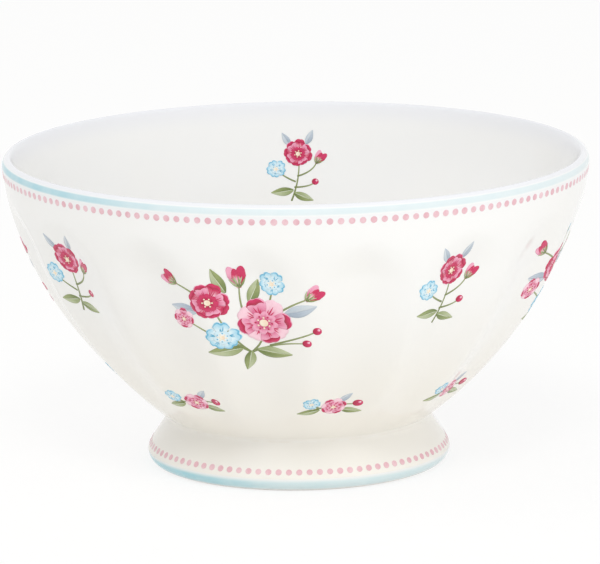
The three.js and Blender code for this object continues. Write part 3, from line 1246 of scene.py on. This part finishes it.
def petal(length: float, width: float, neck: float = 0.3, crown: float = 0.4, bite: float = 0.05) -> Shape:
    """A petal that fans out from a narrow neck to a rounded end with a small bite in it.

    Args:
        length: Length from neck to end.
        width: Width near the end.
        neck: Width of the neck as a share of the width.
        crown: How round the end is.
        bite: Depth of the bite as a share of the length.

    Returns:
        The petal's shape.
    """
    def shape(u: np.ndarray, v: np.ndarray) -> Flat:
        """Along and across at points of the unit sheet.

        Args:
            u: Shares of the way from root to end.
            v: Shares of the way across, from -1 to 1.

        Returns:
            Distances along and across.
        """
        end = rounded_end(v, top=1.0, spread=0.97, crown=crown, bite=bite)
        fan = neck + (1.0 - neck) * np.sin(0.5 * math.pi * u)
        return length * u * (1.0 + (end - 1.0) * u), 0.5 * width * v * fan
    return shape


def petal_edge(length: float, width: float, crown: float, bite: float, depth: float) -> Shape:
    """A crescent of darker ink inside a petal's rounded end.

    Args:
        length: The petal's length.
        width: The petal's width.
        crown: How round the petal's end is.
        bite: Depth of the petal's bite as a share of its length.
        depth: Thickness of the crescent as a share of the length.

    Returns:
        The crescent's shape.
    """
    def shape(u: np.ndarray, v: np.ndarray) -> Flat:
        """Along and across at points of the unit sheet.

        Args:
            u: Shares of the way from the inner edge to the outer.
            v: Shares of the way across, from -1 to 1.

        Returns:
            Distances along and across.
        """
        end = rounded_end(v, top=0.97, spread=0.93, crown=crown, bite=bite)
        inset = depth * (1.0 - u) * (EDGE_LEAST + np.cos(EDGE_TAPER * v))
        return length * (end - inset), EDGE_WIDTH * width * v
    return shape


def streak(start: float, stop: float, width: float) -> Shape:
    """A brush stroke that thickens in its middle.

    Args:
        start: Where it starts.
        stop: Where it ends.
        width: Its greatest width.

    Returns:
        The stroke's shape.
    """
    def shape(u: np.ndarray, v: np.ndarray) -> Flat:
        """Along and across at a point of the unit sheet."""
        swell = np.sin(math.pi * (STREAK_START + STREAK_RUN * u))
        return start + (stop - start) * u, 0.5 * width * v * swell
    return shape


def leaf_half(length: float, width: float, side: int, bend: float) -> Shape:
    """One half of a leaf, on one side of its bent midrib.

    Args:
        length: The leaf's length.
        width: The whole leaf's width.
        side: 1 for its left half and -1 for its right half.
        bend: How far its tip bends aside, as a share of the length.

    Returns:
        The half's shape.
    """
    def shape(u: np.ndarray, v: np.ndarray) -> Flat:
        """Along and across at a point of the unit sheet."""
        half = 0.5 * width * np.sin(math.pi * (LEAF_START + LEAF_RUN * u) ** LEAF_SKEW)
        return length * u, bend * length * u * u + side * half * 0.5 * (v + 1.0)
    return shape


def disc(radius: float) -> Shape:
    """A round spot.

    Args:
        radius: Its radius.

    Returns:
        The spot's shape.
    """
    def shape(u: np.ndarray, v: np.ndarray) -> Flat:
        """Along and across at a point of the unit sheet."""
        w = 2.0 * u - 1.0
        return radius * w * np.sqrt(1.0 - 0.5 * v * v), radius * v * np.sqrt(1.0 - 0.5 * w * w)
    return shape


def stroke(start: Pair, bow: Pair, stop: Pair, width: float) -> Shape:
    """A stalk along a bowed line, thinner towards its end.

    Args:
        start: Where it starts.
        bow: How far its middle is pulled aside.
        stop: Where it ends.
        width: Its width at the start.

    Returns:
        The stalk's shape.
    """
    middle = (0.5 * (start[0] + stop[0]) + bow[0], 0.5 * (start[1] + stop[1]) + bow[1])
    controls = np.array([start, middle, stop])

    def shape(u: np.ndarray, v: np.ndarray) -> Flat:
        """Flat coordinates at points of the unit sheet.

        Args:
            u: Shares of the way from root to end.
            v: Shares of the way across, from -1 to 1.

        Returns:
            Their x and y.
        """
        spine = bezier(controls, u)
        slope = unit(bezier(np.diff(controls, axis=0), u))
        half = 0.5 * width * v * (1.0 - STALK_TAPER * u)
        return spine[:, 0] - slope[:, 1] * half, spine[:, 1] + slope[:, 0] * half
    return shape


@dataclass
class PrintSheet:
    """Thin closed spots of ink, laid on the cup's wall round one point of it."""

    wall: CupWall
    angle: float
    level: float
    unit: float
    side: int = 1
    seed: int = 1
    ink_height: float = 0.03 * MM
    ink_step: float = 0.005 * MM
    ink_root: float = 0.05 * MM

    def __post_init__(self) -> None:
        """Start with an empty sheet."""
        self.random = np.random.default_rng(self.seed)
        self.points: list[np.ndarray] = []
        self.maps: list[np.ndarray] = []
        self.faces: list[np.ndarray] = []
        self.inks: list[np.ndarray] = []
        self.smooth: list[np.ndarray] = []
        self.count = 0

    def lay(self, x: np.ndarray, y: np.ndarray, lift: float) -> np.ndarray:
        """Lay flat points on the wall: x goes round the cup and y along its profile.

        Args:
            x: Drawing units round the cup.
            y: Drawing units along the profile.
            lift: Distance off the glaze.

        Returns:
            Points as rows of x, y and z.
        """
        wall = self.wall
        run = np.clip(self.level * wall.length + y * self.unit, 0.0, wall.length)
        t = wall.at_length(run)
        radius = (wall.outer(t) if self.side > 0 else wall.inner(t))[:, 0]
        turn = self.angle + self.side * x * self.unit / radius
        return wall.place(turn, t, np.full(len(t), lift), self.side)

    def draw(self, shape: Shape, spot: Spot, cells: tuple[int, int], ink: Ink, layer: int) -> None:
        """Draw one spot of ink.

        Args:
            shape: The spot's shape.
            spot: Where it starts and which way it points.
            cells: How many cells it has along and across.
            ink: Its ink.
            layer: How many layers of ink lie under it.
        """
        rows, columns = cells
        grid = np.meshgrid(line(0.0, 1.0, rows), line(-1.0, 1.0, columns), indexing="ij")
        u, v = (part.ravel() for part in grid)
        x, y = spot.place(*shape(u, v))
        index = np.arange(len(u)).reshape(rows + 1, columns + 1)
        quads = np.stack([index[:-1, :-1], index[1:, :-1], index[1:, 1:], index[:-1, 1:]], -1).reshape(-1, 4)
        rim = np.concatenate([index[:-1, 0], index[-1, :-1], index[:0:-1, -1], index[0, :0:-1]])
        ahead = np.roll(rim, -1)
        if np.sum(x[rim] * y[ahead] - x[ahead] * y[rim]) < 0.0:
            quads, rim, ahead = quads[:, ::-1], ahead, rim
        under = quads[:, ::-1] + len(u)
        edge = np.stack([rim + len(u), ahead + len(u), ahead, rim], -1)
        top = self.lay(x, y, self.ink_height + layer * self.ink_step)
        self.points += [top, self.lay(x, y, -self.ink_root)]
        self.maps += [np.stack([u, 0.5 * (v + 1.0)], -1)] * 2
        self.faces.append(np.concatenate([quads, under, edge]) + self.count)
        self.inks.append(np.full(2 * len(quads) + len(edge), list(Ink).index(ink)))
        self.smooth.append(np.arange(2 * len(quads) + len(edge)) < len(quads))
        self.count += 2 * len(u)

    def uneven(self, spread: float) -> float:
        """A seeded number near 0 for the small differences between drawn strokes."""
        return float(self.random.uniform(-spread, spread))

    def build(self, name: str, inks: Mapping[Ink, bpy.types.Material]) -> bpy.types.Object:
        """Turn the sheet into a piece.

        Args:
            name: The piece's name.
            inks: The material of each ink.

        Returns:
            The piece.
        """
        faces = np.concatenate(self.faces)
        used, slots = np.unique(np.concatenate(self.inks), return_inverse=True)
        mesh = bpy.data.meshes.new(name)
        mesh.from_pydata(np.concatenate(self.points).tolist(), [], faces.tolist())
        drawn = mesh.uv_layers.new(name=PRINT_MAP)
        drawn.data.foreach_set("uv", np.concatenate(self.maps)[faces.ravel()].astype(np.float32).ravel())
        for number in used:
            mesh.materials.append(inks[list(Ink)[number]])
        mesh.polygons.foreach_set("material_index", slots.astype(np.int32))
        mesh.polygons.foreach_set("use_smooth", np.concatenate(self.smooth))
        mesh.update()
        return new_object(name, mesh)


class Layer(IntEnum):
    """How many layers of ink lie under each part of a print."""

    LEAF = 4
    FLOWER = 8
    CALYX = 11
    INNER = 13
    HEART = 16
    STAMEN = 17


class Drawn(Protocol):
    """Anything that can be drawn on a print sheet."""

    def draw(self, sheet: PrintSheet, turn: int) -> None:
        """Draw it, given how many were drawn before it."""


@dataclass(frozen=True)
class Stem:
    """A thin stalk from one point of the print to another."""

    start: Pair
    stop: Pair
    bow: Pair = (0.0, 0.0)
    width: float = 0.6

    def draw(self, sheet: PrintSheet, turn: int) -> None:
        """Draw the stalk.

        Args:
            sheet: The sheet to draw on.
            turn: How many things were drawn before it.
        """
        length = math.dist(self.start, self.stop)
        shape = stroke(self.start, self.bow, self.stop, self.width)
        sheet.draw(shape, Spot(), (max(4, round(length)), 2), Ink.STALK, turn % 4)


class LeafKind(Enum):
    """Inks of a leaf's two halves."""

    SAGE = (Ink.SAGE, Ink.OLIVE)
    MIST = (Ink.MIST, Ink.SLATE)


@dataclass(frozen=True)
class Leaf:
    """A leaf with a lighter and a darker half and a pale midrib."""

    at: Pair
    length: float
    degrees: float
    kind: LeafKind = LeafKind.SAGE
    bend: float = 0.1
    SLIMNESS: ClassVar[float] = 0.42
    RIB: ClassVar[Pair] = (0.05, 0.8)
    RIB_WIDTH: ClassVar[float] = 0.22
    RIB_LEAN: ClassVar[float] = 0.6
    TURN_SPREAD: ClassVar[float] = 3.0

    def draw(self, sheet: PrintSheet, turn: int) -> None:
        """Draw the two halves, then the midrib over them.

        Args:
            sheet: The sheet to draw on.
            turn: How many things were drawn before it.
        """
        spot = Spot(*self.at, self.degrees + sheet.uneven(self.TURN_SPREAD))
        layer = Layer.LEAF + 2 * (turn % 2)
        rows = max(8, round(2.0 * self.length))
        bend = self.bend if turn % 2 else -self.bend
        for side, ink in zip((1, -1), self.kind.value):
            half = leaf_half(self.length, self.SLIMNESS * self.length, side, bend)
            sheet.draw(half, spot, (rows, 3), ink, layer)
        if self.kind is LeafKind.SAGE:
            start, stop = self.RIB
            rib = streak(start * self.length, stop * self.length, self.RIB_WIDTH)
            lean = math.degrees(math.atan(self.RIB_LEAN * bend))
            sheet.draw(rib, spot.turned(lean), (rows, 2), Ink.VEIN, layer + 1)


@dataclass(frozen=True)
class Bud:
    """A closed bud: three petals in a green cup."""

    at: Pair
    length: float
    degrees: float
    BACK: ClassVar[Pair] = (0.92, 0.4)
    FRONT: ClassVar[Pair] = (0.8, 0.34)
    SEPAL: ClassVar[Pair] = (0.48, 0.17)
    BACK_SPLAY: ClassVar[float] = 15.0
    FRONT_TURN: ClassVar[float] = 4.0
    SEPAL_TURNS: ClassVar[tuple[float, ...]] = (34.0, -30.0, 3.0)

    def sized(self, shares: Pair) -> Pair:
        """Length and width from their shares of the bud's length."""
        return shares[0] * self.length, shares[1] * self.length

    def draw(self, sheet: PrintSheet, turn: int) -> None:
        """Draw the back petals, the front petal and the green cup.

        Args:
            sheet: The sheet to draw on.
            turn: How many things were drawn before it; not used.
        """
        spot = Spot(*self.at, self.degrees)
        cells = (max(6, round(1.6 * self.length)), 6)
        wide = petal(*self.sized(self.BACK), neck=0.35, crown=0.55, bite=0.0)
        sheet.draw(wide, spot.turned(self.BACK_SPLAY), cells, Ink.PINK, Layer.FLOWER)
        sheet.draw(wide, spot.turned(-self.BACK_SPLAY), cells, Ink.RASPBERRY, Layer.FLOWER + 1)
        front = petal(*self.sized(self.FRONT), neck=0.4, crown=0.7, bite=0.0)
        sheet.draw(front, spot.turned(self.FRONT_TURN), cells, Ink.PETAL_EDGE, Layer.FLOWER + 2)
        for degrees in self.SEPAL_TURNS:
            for side, ink in zip((1, -1), LeafKind.SAGE.value):
                sepal = leaf_half(*self.sized(self.SEPAL), side, bend=0.12 * side)
                sheet.draw(sepal, spot.turned(degrees), (6, 2), ink, Layer.CALYX)


@dataclass(frozen=True)
class Berry:
    """A round berry with a lighter spot."""

    at: Pair
    radius: float = 1.15
    SHINE_PLACE: ClassVar[float] = 0.35
    SHINE_SIZE: ClassVar[float] = 0.32

    def draw(self, sheet: PrintSheet, turn: int) -> None:
        """Draw the berry and its shine.

        Args:
            sheet: The sheet to draw on.
            turn: How many things were drawn before it; not used.
        """
        sheet.draw(disc(self.radius), Spot(*self.at), (8, 8), Ink.RASPBERRY, Layer.FLOWER)
        aside = self.SHINE_PLACE * self.radius
        shine = Spot(self.at[0] + aside, self.at[1] + aside)
        sheet.draw(disc(self.SHINE_SIZE * self.radius), shine, (4, 4), Ink.BLUSH, Layer.FLOWER + 1)


@dataclass(frozen=True)
class BloomStyle:
    """How a kind of flower is drawn: its inks, and its petals' width, crown, bite and edge."""

    petal_inks: tuple[Ink, Ink]
    edged: tuple[bool, bool]
    mark: Ink
    inner: Ink
    fill: float = 1.22
    crown: float = 0.4
    bite: float = 0.05
    edge: float = 0.22


class BloomKind(Enum):
    """The kinds of flower in the prints."""

    COSMOS = BloomStyle((Ink.BLUSH, Ink.PINK), (False, True), Ink.RASPBERRY, Ink.PINK)
    STAR = BloomStyle((Ink.SKY, Ink.SKY), (True, True), Ink.LAKE, Ink.ICE, 0.96, 0.55, 0.16, 0.1)
    DAISY = BloomStyle((Ink.PETAL_EDGE, Ink.PINK), (True, True), Ink.RASPBERRY, Ink.RASPBERRY)


@dataclass(frozen=True)
class Bloom:
    """An open flower: a ring of petals, marks on them, an inner ring and a heart with stamens."""

    at: Pair
    radius: float
    petals: int
    kind: BloomKind
    lean: float = 0.1
    lean_degrees: float = 70.0
    HEART: ClassVar[float] = 0.16
    INNER_START: ClassVar[float] = 0.1
    INNER_REACH: ClassVar[float] = 0.52
    INNER_FILL: ClassVar[float] = 0.75
    WIDEST: ClassVar[float] = 0.78
    REACH_SPREAD: ClassVar[float] = 0.05
    TURN_SPREAD: ClassVar[float] = 4.0
    MARK_TURNS: ClassVar[tuple[float, ...]] = (-11.0, 1.0, 12.0)
    MARK_START: ClassVar[float] = 0.08
    MARK_REACH: ClassVar[float] = 0.58
    MARK_REACH_SPREAD: ClassVar[float] = 0.12
    MARK_TURN_SPREAD: ClassVar[float] = 3.0
    MARK_WIDTH: ClassVar[float] = 0.075
    MARK_LAYERS: ClassVar[int] = 3
    STAMENS: ClassVar[int] = 12
    STAMEN_REACH: ClassVar[Pair] = (0.23, 0.3)
    STAMEN_SIZE: ClassVar[Pair] = (0.03, 0.07)

    def reach(self, degrees: float) -> float:
        """How long a petal is, longer on the side that the flower leans to."""
        return self.radius * (1.0 + self.lean * math.cos(math.radians(degrees - self.lean_degrees)))

    def draw(self, sheet: PrintSheet, turn: int) -> None:
        """Draw the flower from its back petals to its stamens.

        Args:
            sheet: The sheet to draw on.
            turn: How many things were drawn before it; not used.
        """
        style = self.kind.value
        heart = Spot(*self.at, self.lean_degrees).ahead(-self.lean * self.radius)
        first = sheet.uneven(180.0)
        last = self.petals - 1
        for i in range(self.petals):
            degrees = first + 360.0 * i / self.petals + sheet.uneven(self.TURN_SPREAD)
            back = 2 if i == last and self.petals % 2 else i % 2
            self.draw_petal(sheet, heart.facing(degrees), i % 2, Layer.FLOWER + back)
        short = self.INNER_REACH * self.radius
        start = self.INNER_START * self.radius
        inner_width = self.INNER_FILL * TAU * short / self.petals
        leafy = petal(short - start, inner_width, neck=0.4, crown=0.5, bite=0.0)
        for i in range(self.petals):
            spot = heart.facing(first + 360.0 * (i + 0.5) / self.petals).ahead(start)
            sheet.draw(leafy, spot, (5, 6), style.inner, Layer.INNER + i % 2)
        sheet.draw(disc(self.HEART * self.radius), heart.facing(0.0), (6, 6), Ink.CREAM, Layer.HEART)
        share, least = self.STAMEN_SIZE
        speck = disc(share * self.radius + least)
        for i in range(self.STAMENS):
            stamen = heart.facing(first + 360.0 * i / self.STAMENS)
            tip = stamen.ahead(self.STAMEN_REACH[i % 2] * self.radius)
            ink = style.mark if i % 2 else Ink.CREAM
            sheet.draw(speck, tip, (3, 3), ink, Layer.STAMEN)

    def draw_petal(self, sheet: PrintSheet, spot: Spot, turn: int, layer: int) -> None:
        """Draw one outer petal with its brush marks.

        Args:
            sheet: The sheet to draw on.
            spot: The flower's heart, pointing along the petal.
            turn: Which of the flower's two petal inks it takes.
            layer: The petal's layer.
        """
        style = self.kind.value
        neck = self.HEART * self.radius
        length = self.reach(spot.degrees) * (1.0 + sheet.uneven(self.REACH_SPREAD)) - neck
        width = style.fill * TAU * self.radius * self.WIDEST / self.petals
        cells = (max(5, round(1.1 * length)), max(8, round(2.0 * width)))
        spot = spot.ahead(neck)
        shape = petal(length, width, crown=style.crown, bite=style.bite)
        sheet.draw(shape, spot, cells, style.petal_inks[turn], layer)
        if style.edged[turn]:
            edge = petal_edge(length, width, style.crown, style.bite, style.edge)
            aside = spot.turned(sheet.uneven(self.TURN_SPREAD))
            sheet.draw(edge, aside, (3, cells[1]), style.mark, layer + self.MARK_LAYERS)
        for degrees in self.MARK_TURNS:
            reach = self.MARK_REACH + sheet.uneven(self.MARK_REACH_SPREAD)
            mark = streak(self.MARK_START * length, reach * length, self.MARK_WIDTH * width)
            aside = spot.turned(degrees + sheet.uneven(self.MARK_TURN_SPREAD))
            sheet.draw(mark, aside, (5, 2), style.mark, layer + self.MARK_LAYERS)


TIE = (1.0, -10.0)
POSY: tuple[Drawn, ...] = (
    Stem(TIE, (5.5, 0.0), (2.0, -1.0)),
    Stem(TIE, (-7.5, 6.0), (-1.0, -3.0)),
    Stem(TIE, (-5.0, -5.0)),
    Stem((5.5, 2.0), (8.5, 11.5), (1.0, 0.0)),
    Stem((1.0, 0.0), (0.0, 11.0), (-1.0, 0.0)),
    Stem((8.0, 2.0), (17.0, 7.5), (0.0, 1.0)),
    Stem((-8.0, 6.0), (-17.0, 11.0), (0.0, 1.0)),
    Stem(TIE, (-15.0, 0.0), (-2.0, 2.0)),
    Stem(TIE, (15.0, -6.5), (0.0, 2.0)),
    Stem((6.0, -7.5), (18.5, -2.5), (1.0, 0.0)),
    Leaf((-1.0, -8.5), 9.0, 197.0),
    Leaf((2.5, -9.0), 9.0, -18.0),
    Leaf((1.0, -9.5), 7.0, 262.0),
    Leaf((11.0, 3.0), 8.5, 8.0, LeafKind.MIST),
    Leaf((-11.0, 3.0), 8.0, 178.0, LeafKind.MIST),
    Leaf((2.0, 6.0), 7.5, 62.0),
    Leaf((-3.5, 9.0), 7.5, 118.0),
    Bud((0.0, 10.5), 7.0, 95.0),
    Bud((16.6, 7.2), 6.0, 38.0),
    Bud((-16.6, 10.8), 5.5, 145.0),
    Berry((15.5, -6.5)),
    Berry((18.5, -2.5)),
    Bloom((5.5, 0.5), 7.2, 8, BloomKind.COSMOS),
    Bloom((-8.0, 6.5), 5.4, 8, BloomKind.DAISY),
    Bloom((-5.5, -4.5), 4.6, 5, BloomKind.STAR),
    Bloom((8.5, 12.0), 3.6, 5, BloomKind.STAR),
    Bloom((-15.5, 0.5), 3.2, 8, BloomKind.COSMOS),
)
SPRIG: tuple[Drawn, ...] = (
    Stem((-1.5, -12.0), (1.0, 5.0), (2.0, 0.0)),
    Stem((0.0, -5.0), (-6.0, -0.5), (-2.0, 0.0)),
    Stem((0.5, -3.0), (7.0, 2.0), (2.0, -1.0)),
    Stem((-0.5, -7.0), (6.5, -5.0), (2.0, -1.0)),
    Leaf((-0.8, -8.0), 7.5, 190.0),
    Leaf((-0.6, -9.0), 7.0, -28.0),
    Leaf((-1.5, 8.0), 5.5, 128.0, LeafKind.MIST),
    Leaf((3.5, 8.5), 5.5, 58.0, LeafKind.MIST),
    Bud((6.8, 1.6), 5.5, 58.0),
    Berry((6.5, -5.0)),
    Bloom((1.0, 5.5), 4.8, 8, BloomKind.DAISY),
    Bloom((-6.5, 0.0), 3.4, 5, BloomKind.STAR),
)
TWIG: tuple[Drawn, ...] = (
    Stem((-6.5, -1.5), (6.0, 1.0), (0.0, 2.0)),
    Stem((-2.5, 0.2), (-4.2, 2.0), (-0.5, 0.0)),
    Leaf((-2.4, -0.4), 5.0, 202.0),
    Leaf((2.4, -0.6), 5.0, -22.0),
    Leaf((2.0, 2.0), 4.2, 58.0, LeafKind.MIST),
    Berry((6.2, 1.4)),
    Bloom((0.8, 0.6), 3.0, 8, BloomKind.COSMOS),
    Bloom((-4.4, 2.2), 2.1, 5, BloomKind.STAR),
)


@dataclass(frozen=True)
class PrintRing:
    """A print repeated round the cup, one piece for each CAD transfer."""

    node: str
    drawing: tuple[Drawn, ...]
    count: int
    first_degrees: float
    level: float
    unit: float

    def build(self, wall: CupWall, inks: Mapping[Ink, bpy.types.Material]) -> None:
        """Lay every copy on the wall.

        Args:
            wall: The cup's wall.
            inks: The material of each ink.
        """
        for i in range(self.count):
            angle = math.radians(self.first_degrees + 360.0 * i / self.count)
            sheet = PrintSheet(wall, angle, self.level, self.unit, seed=i + 1)
            lay_print(f"{self.node}_{i + 1}", self.drawing, sheet, inks)


def lay_print(node: str, drawing: Iterable[Drawn], sheet: PrintSheet,
              inks: Mapping[Ink, bpy.types.Material]) -> None:
    """Draw one print and hand it over for its CAD transfer.

    Args:
        node: The transfer's name.
        drawing: What the print shows, from back to front.
        sheet: The sheet to draw on.
        inks: The material of each ink.
    """
    for turn, item in enumerate(drawing):
        item.draw(sheet, turn)
    hand_over(sheet.build(f"{node}_print", inks), Slot.FLOWER_PRINT, node)


# Stage


@dataclass(frozen=True)
class Lamp:
    """A square lamp: its place, its width, how bright its face looks (1 is white) and whether it glints."""

    name: str
    place: tuple[float, float, float]
    width: float
    glow: float
    glint: bool = False

    def hang(self, target: Vector) -> None:
        """Hang the lamp and point it at a target.

        Args:
            target: What it points at.
        """
        light = bpy.data.lights.new(self.name, "AREA")
        light.size = self.width
        light.energy = self.glow * math.pi * self.width * self.width
        holder = new_object(self.name, light)
        holder.location = self.place
        holder.rotation_euler = (target - Vector(self.place)).to_track_quat("-Z", "Y").to_euler()
        holder.visible_glossy = self.glint


@dataclass
class Studio:
    """A pale floor, soft light from in front, from above and from the right, and the photograph's camera."""

    picture: Pair = (600.0, 564.0)
    lens_pixels: float = 5834.0
    distance: float = 1500.0 * MM
    elevation: float = math.radians(11.85)
    aim: float = 40.0 * MM
    roll: float = math.radians(0.684)
    centre: Pair = (297.3, 306.35)
    sensor: float = 36.0
    clip_end: float = 20.0
    floor_size: float = 6.0
    floor_level: float = -0.05 * MM
    sky: float = 0.71
    white: Colour = linear(255, 255, 255)
    floor_white: Colour = linear(252, 251, 248)
    floor_shade: Colour = linear(251, 250, 246)
    floor_patch: float = 0.4
    floor_roughness: float = 0.9
    shadow_share: float = 0.16
    lit_height: float = 45.0 * MM
    lamps: tuple[Lamp, ...] = (
        Lamp("front_softbox", (0.0, -1.2, 1.5), 0.5, 11.2),
        Lamp("low_softbox", (1.0, -1.0, 0.2), 0.38, 4.9),
        Lamp("side_softbox", (1.6, -0.3, 0.35), 0.6, 1.5),
        Lamp("left_softbox", (-1.0, -0.2, 1.6), 1.0, 1.5),
        Lamp("camera_flash", (0.0, -1.5, 0.45), 0.09, 4.0, glint=True),
    )

    def floor(self) -> None:
        """A wide floor that looks white and keeps a faint shadow."""
        half = 0.5 * self.floor_size
        sides = ((-half, -half), (half, -half), (half, half), (-half, half))
        corners = [(*side, self.floor_level) for side in sides]
        mesh = bpy.data.meshes.new("studio_floor")
        mesh.from_pydata(corners, [], [(0, 1, 2, 3)])
        graph = Finish("studio_floor")
        graph.set(Base_Color=graph.mix(graph.noise(self.floor_patch), self.floor_white, self.floor_shade))
        graph.set(Roughness=self.floor_roughness, Specular_IOR_Level=0.0)
        glow = graph.wire("ShaderNodeEmission", "Emission", {"Color": self.white, "Strength": 1.0})
        mixed = graph.node("ShaderNodeMixShader", {"Fac": self.seen(graph) * (1.0 - self.shadow_share)})
        feed(graph.tree, mixed.inputs[1], graph.shader.outputs["BSDF"])
        feed(graph.tree, mixed.inputs[2], glow)
        feed(graph.tree, graph.tree.nodes["Material Output"].inputs["Surface"], mixed.outputs["Shader"])
        mesh.materials.append(graph.material)
        new_object("studio_floor", mesh)

    @staticmethod
    def seen(graph: Graph) -> Wire:
        """1 for rays from the camera, from gloss and through glass.

        Args:
            graph: The tree that uses it.

        Returns:
            The 1 or 0, as a wire.
        """
        rays = graph.node("ShaderNodeLightPath")
        camera, glossy, through = (
            Wire(graph.tree, rays.outputs[f"Is {kind} Ray"]) for kind in ("Camera", "Glossy", "Transmission")
        )
        return camera.maths("MAXIMUM", camera.maths("MAXIMUM", camera, glossy), through)

    def sky_light(self) -> None:
        """Even light from all round, seen as plain white."""
        world = bpy.data.worlds.new("studio_world")
        world.use_nodes = True
        bpy.context.scene.world = world
        graph = Graph(world.node_tree)
        seen = self.seen(graph)
        backdrop = world.node_tree.nodes["Background"]
        feed(world.node_tree, backdrop.inputs["Color"], self.white)
        feed(world.node_tree, backdrop.inputs["Strength"], seen * (1.0 - self.sky) + self.sky)

    def camera(self) -> None:
        """A long lens a little above the rim, tilted as the photograph is."""
        lens = bpy.data.cameras.new("photo_camera")
        lens.sensor_fit = "HORIZONTAL"
        lens.sensor_width = self.sensor
        lens.lens = self.sensor * self.lens_pixels / self.picture[0]
        lens.shift_x = (0.5 * self.picture[0] - self.centre[0]) / self.picture[0]
        lens.shift_y = (self.centre[1] - 0.5 * self.picture[1]) / self.picture[0]
        lens.clip_end = self.clip_end
        holder = new_object("photo_camera", lens)
        back = Vector((0.0, -math.cos(self.elevation), math.sin(self.elevation)))
        turn = back.to_track_quat("Z", "Y").to_matrix().to_4x4() @ Matrix.Rotation(-self.roll, 4, "Z")
        holder.matrix_world = Matrix.Translation(Vector((0.0, 0.0, self.aim)) + back * self.distance) @ turn
        bpy.context.scene.camera = holder

    def build(self) -> None:
        """Set up the floor, the light and the camera."""
        bpy.context.scene.view_settings.view_transform = "Standard"
        self.camera()
        self.floor()
        self.sky_light()
        for lamp in self.lamps:
            lamp.hang(Vector((0.0, 0.0, self.lit_height)))


RIM_DOT_DROP = 4.1 * MM
FOOT_DOT_HEIGHT = 5.25 * MM
RIM_INK = DotInk("rim_dot_ink", linear(222, 174, 184), linear(232, 200, 207))
FOOT_INK = DotInk("foot_dot_ink", linear(225, 176, 186), linear(234, 201, 207))
RIM_DOTS = DotBorder("rim_dots", "rim_dot_border", RIM_INK, 172, 0.83 * MM, 3)
FOOT_DOTS = DotBorder("foot_dots", "foot_dot_border", FOOT_INK, 92, 0.8 * MM, 5)
PRINT_RINGS = (
    PrintRing("posy", POSY, 4, -12.0, 0.62, 1.0 * MM),
    PrintRing("sprig", SPRIG, 4, 33.0, 0.72, 0.9 * MM),
    PrintRing("twig", TWIG, 8, 10.0, 0.2, 1.15 * MM),
)
INSIDE_LEVEL = 0.8
INSIDE_UNIT = 0.8 * MM
INSIDE_SEED = 9


def main() -> None:
    """Build the bowl and the studio round it."""
    logging.basicConfig(level=logging.INFO, format="%(message)s")
    wall = CupWall()
    spin = SpinTree(wall)
    dots = DotTree()
    glaze = Glaze().material()
    Studio().build()
    Cup(wall).build(spin, glaze)
    foot = Foot(wall)
    foot.build(spin, glaze)
    rim_t = np.array([wall.at_height(wall.height - RIM_DOT_DROP)])
    RIM_DOTS.build(dots, wall.outer(rim_t)[0], wall.normal(rim_t)[0])
    FOOT_DOTS.build(dots, *foot.on_flare(FOOT_DOT_HEIGHT))
    inks = {ink: ink.value.material(f"{ink.name.lower()}_ink") for ink in Ink}
    for ring in PRINT_RINGS:
        ring.build(wall, inks)
    inside = PrintSheet(wall, math.pi, INSIDE_LEVEL, INSIDE_UNIT, side=-1, seed=INSIDE_SEED)
    lay_print("inside_sprig", SPRIG, inside, inks)


if __name__ == "__main__":
    main()
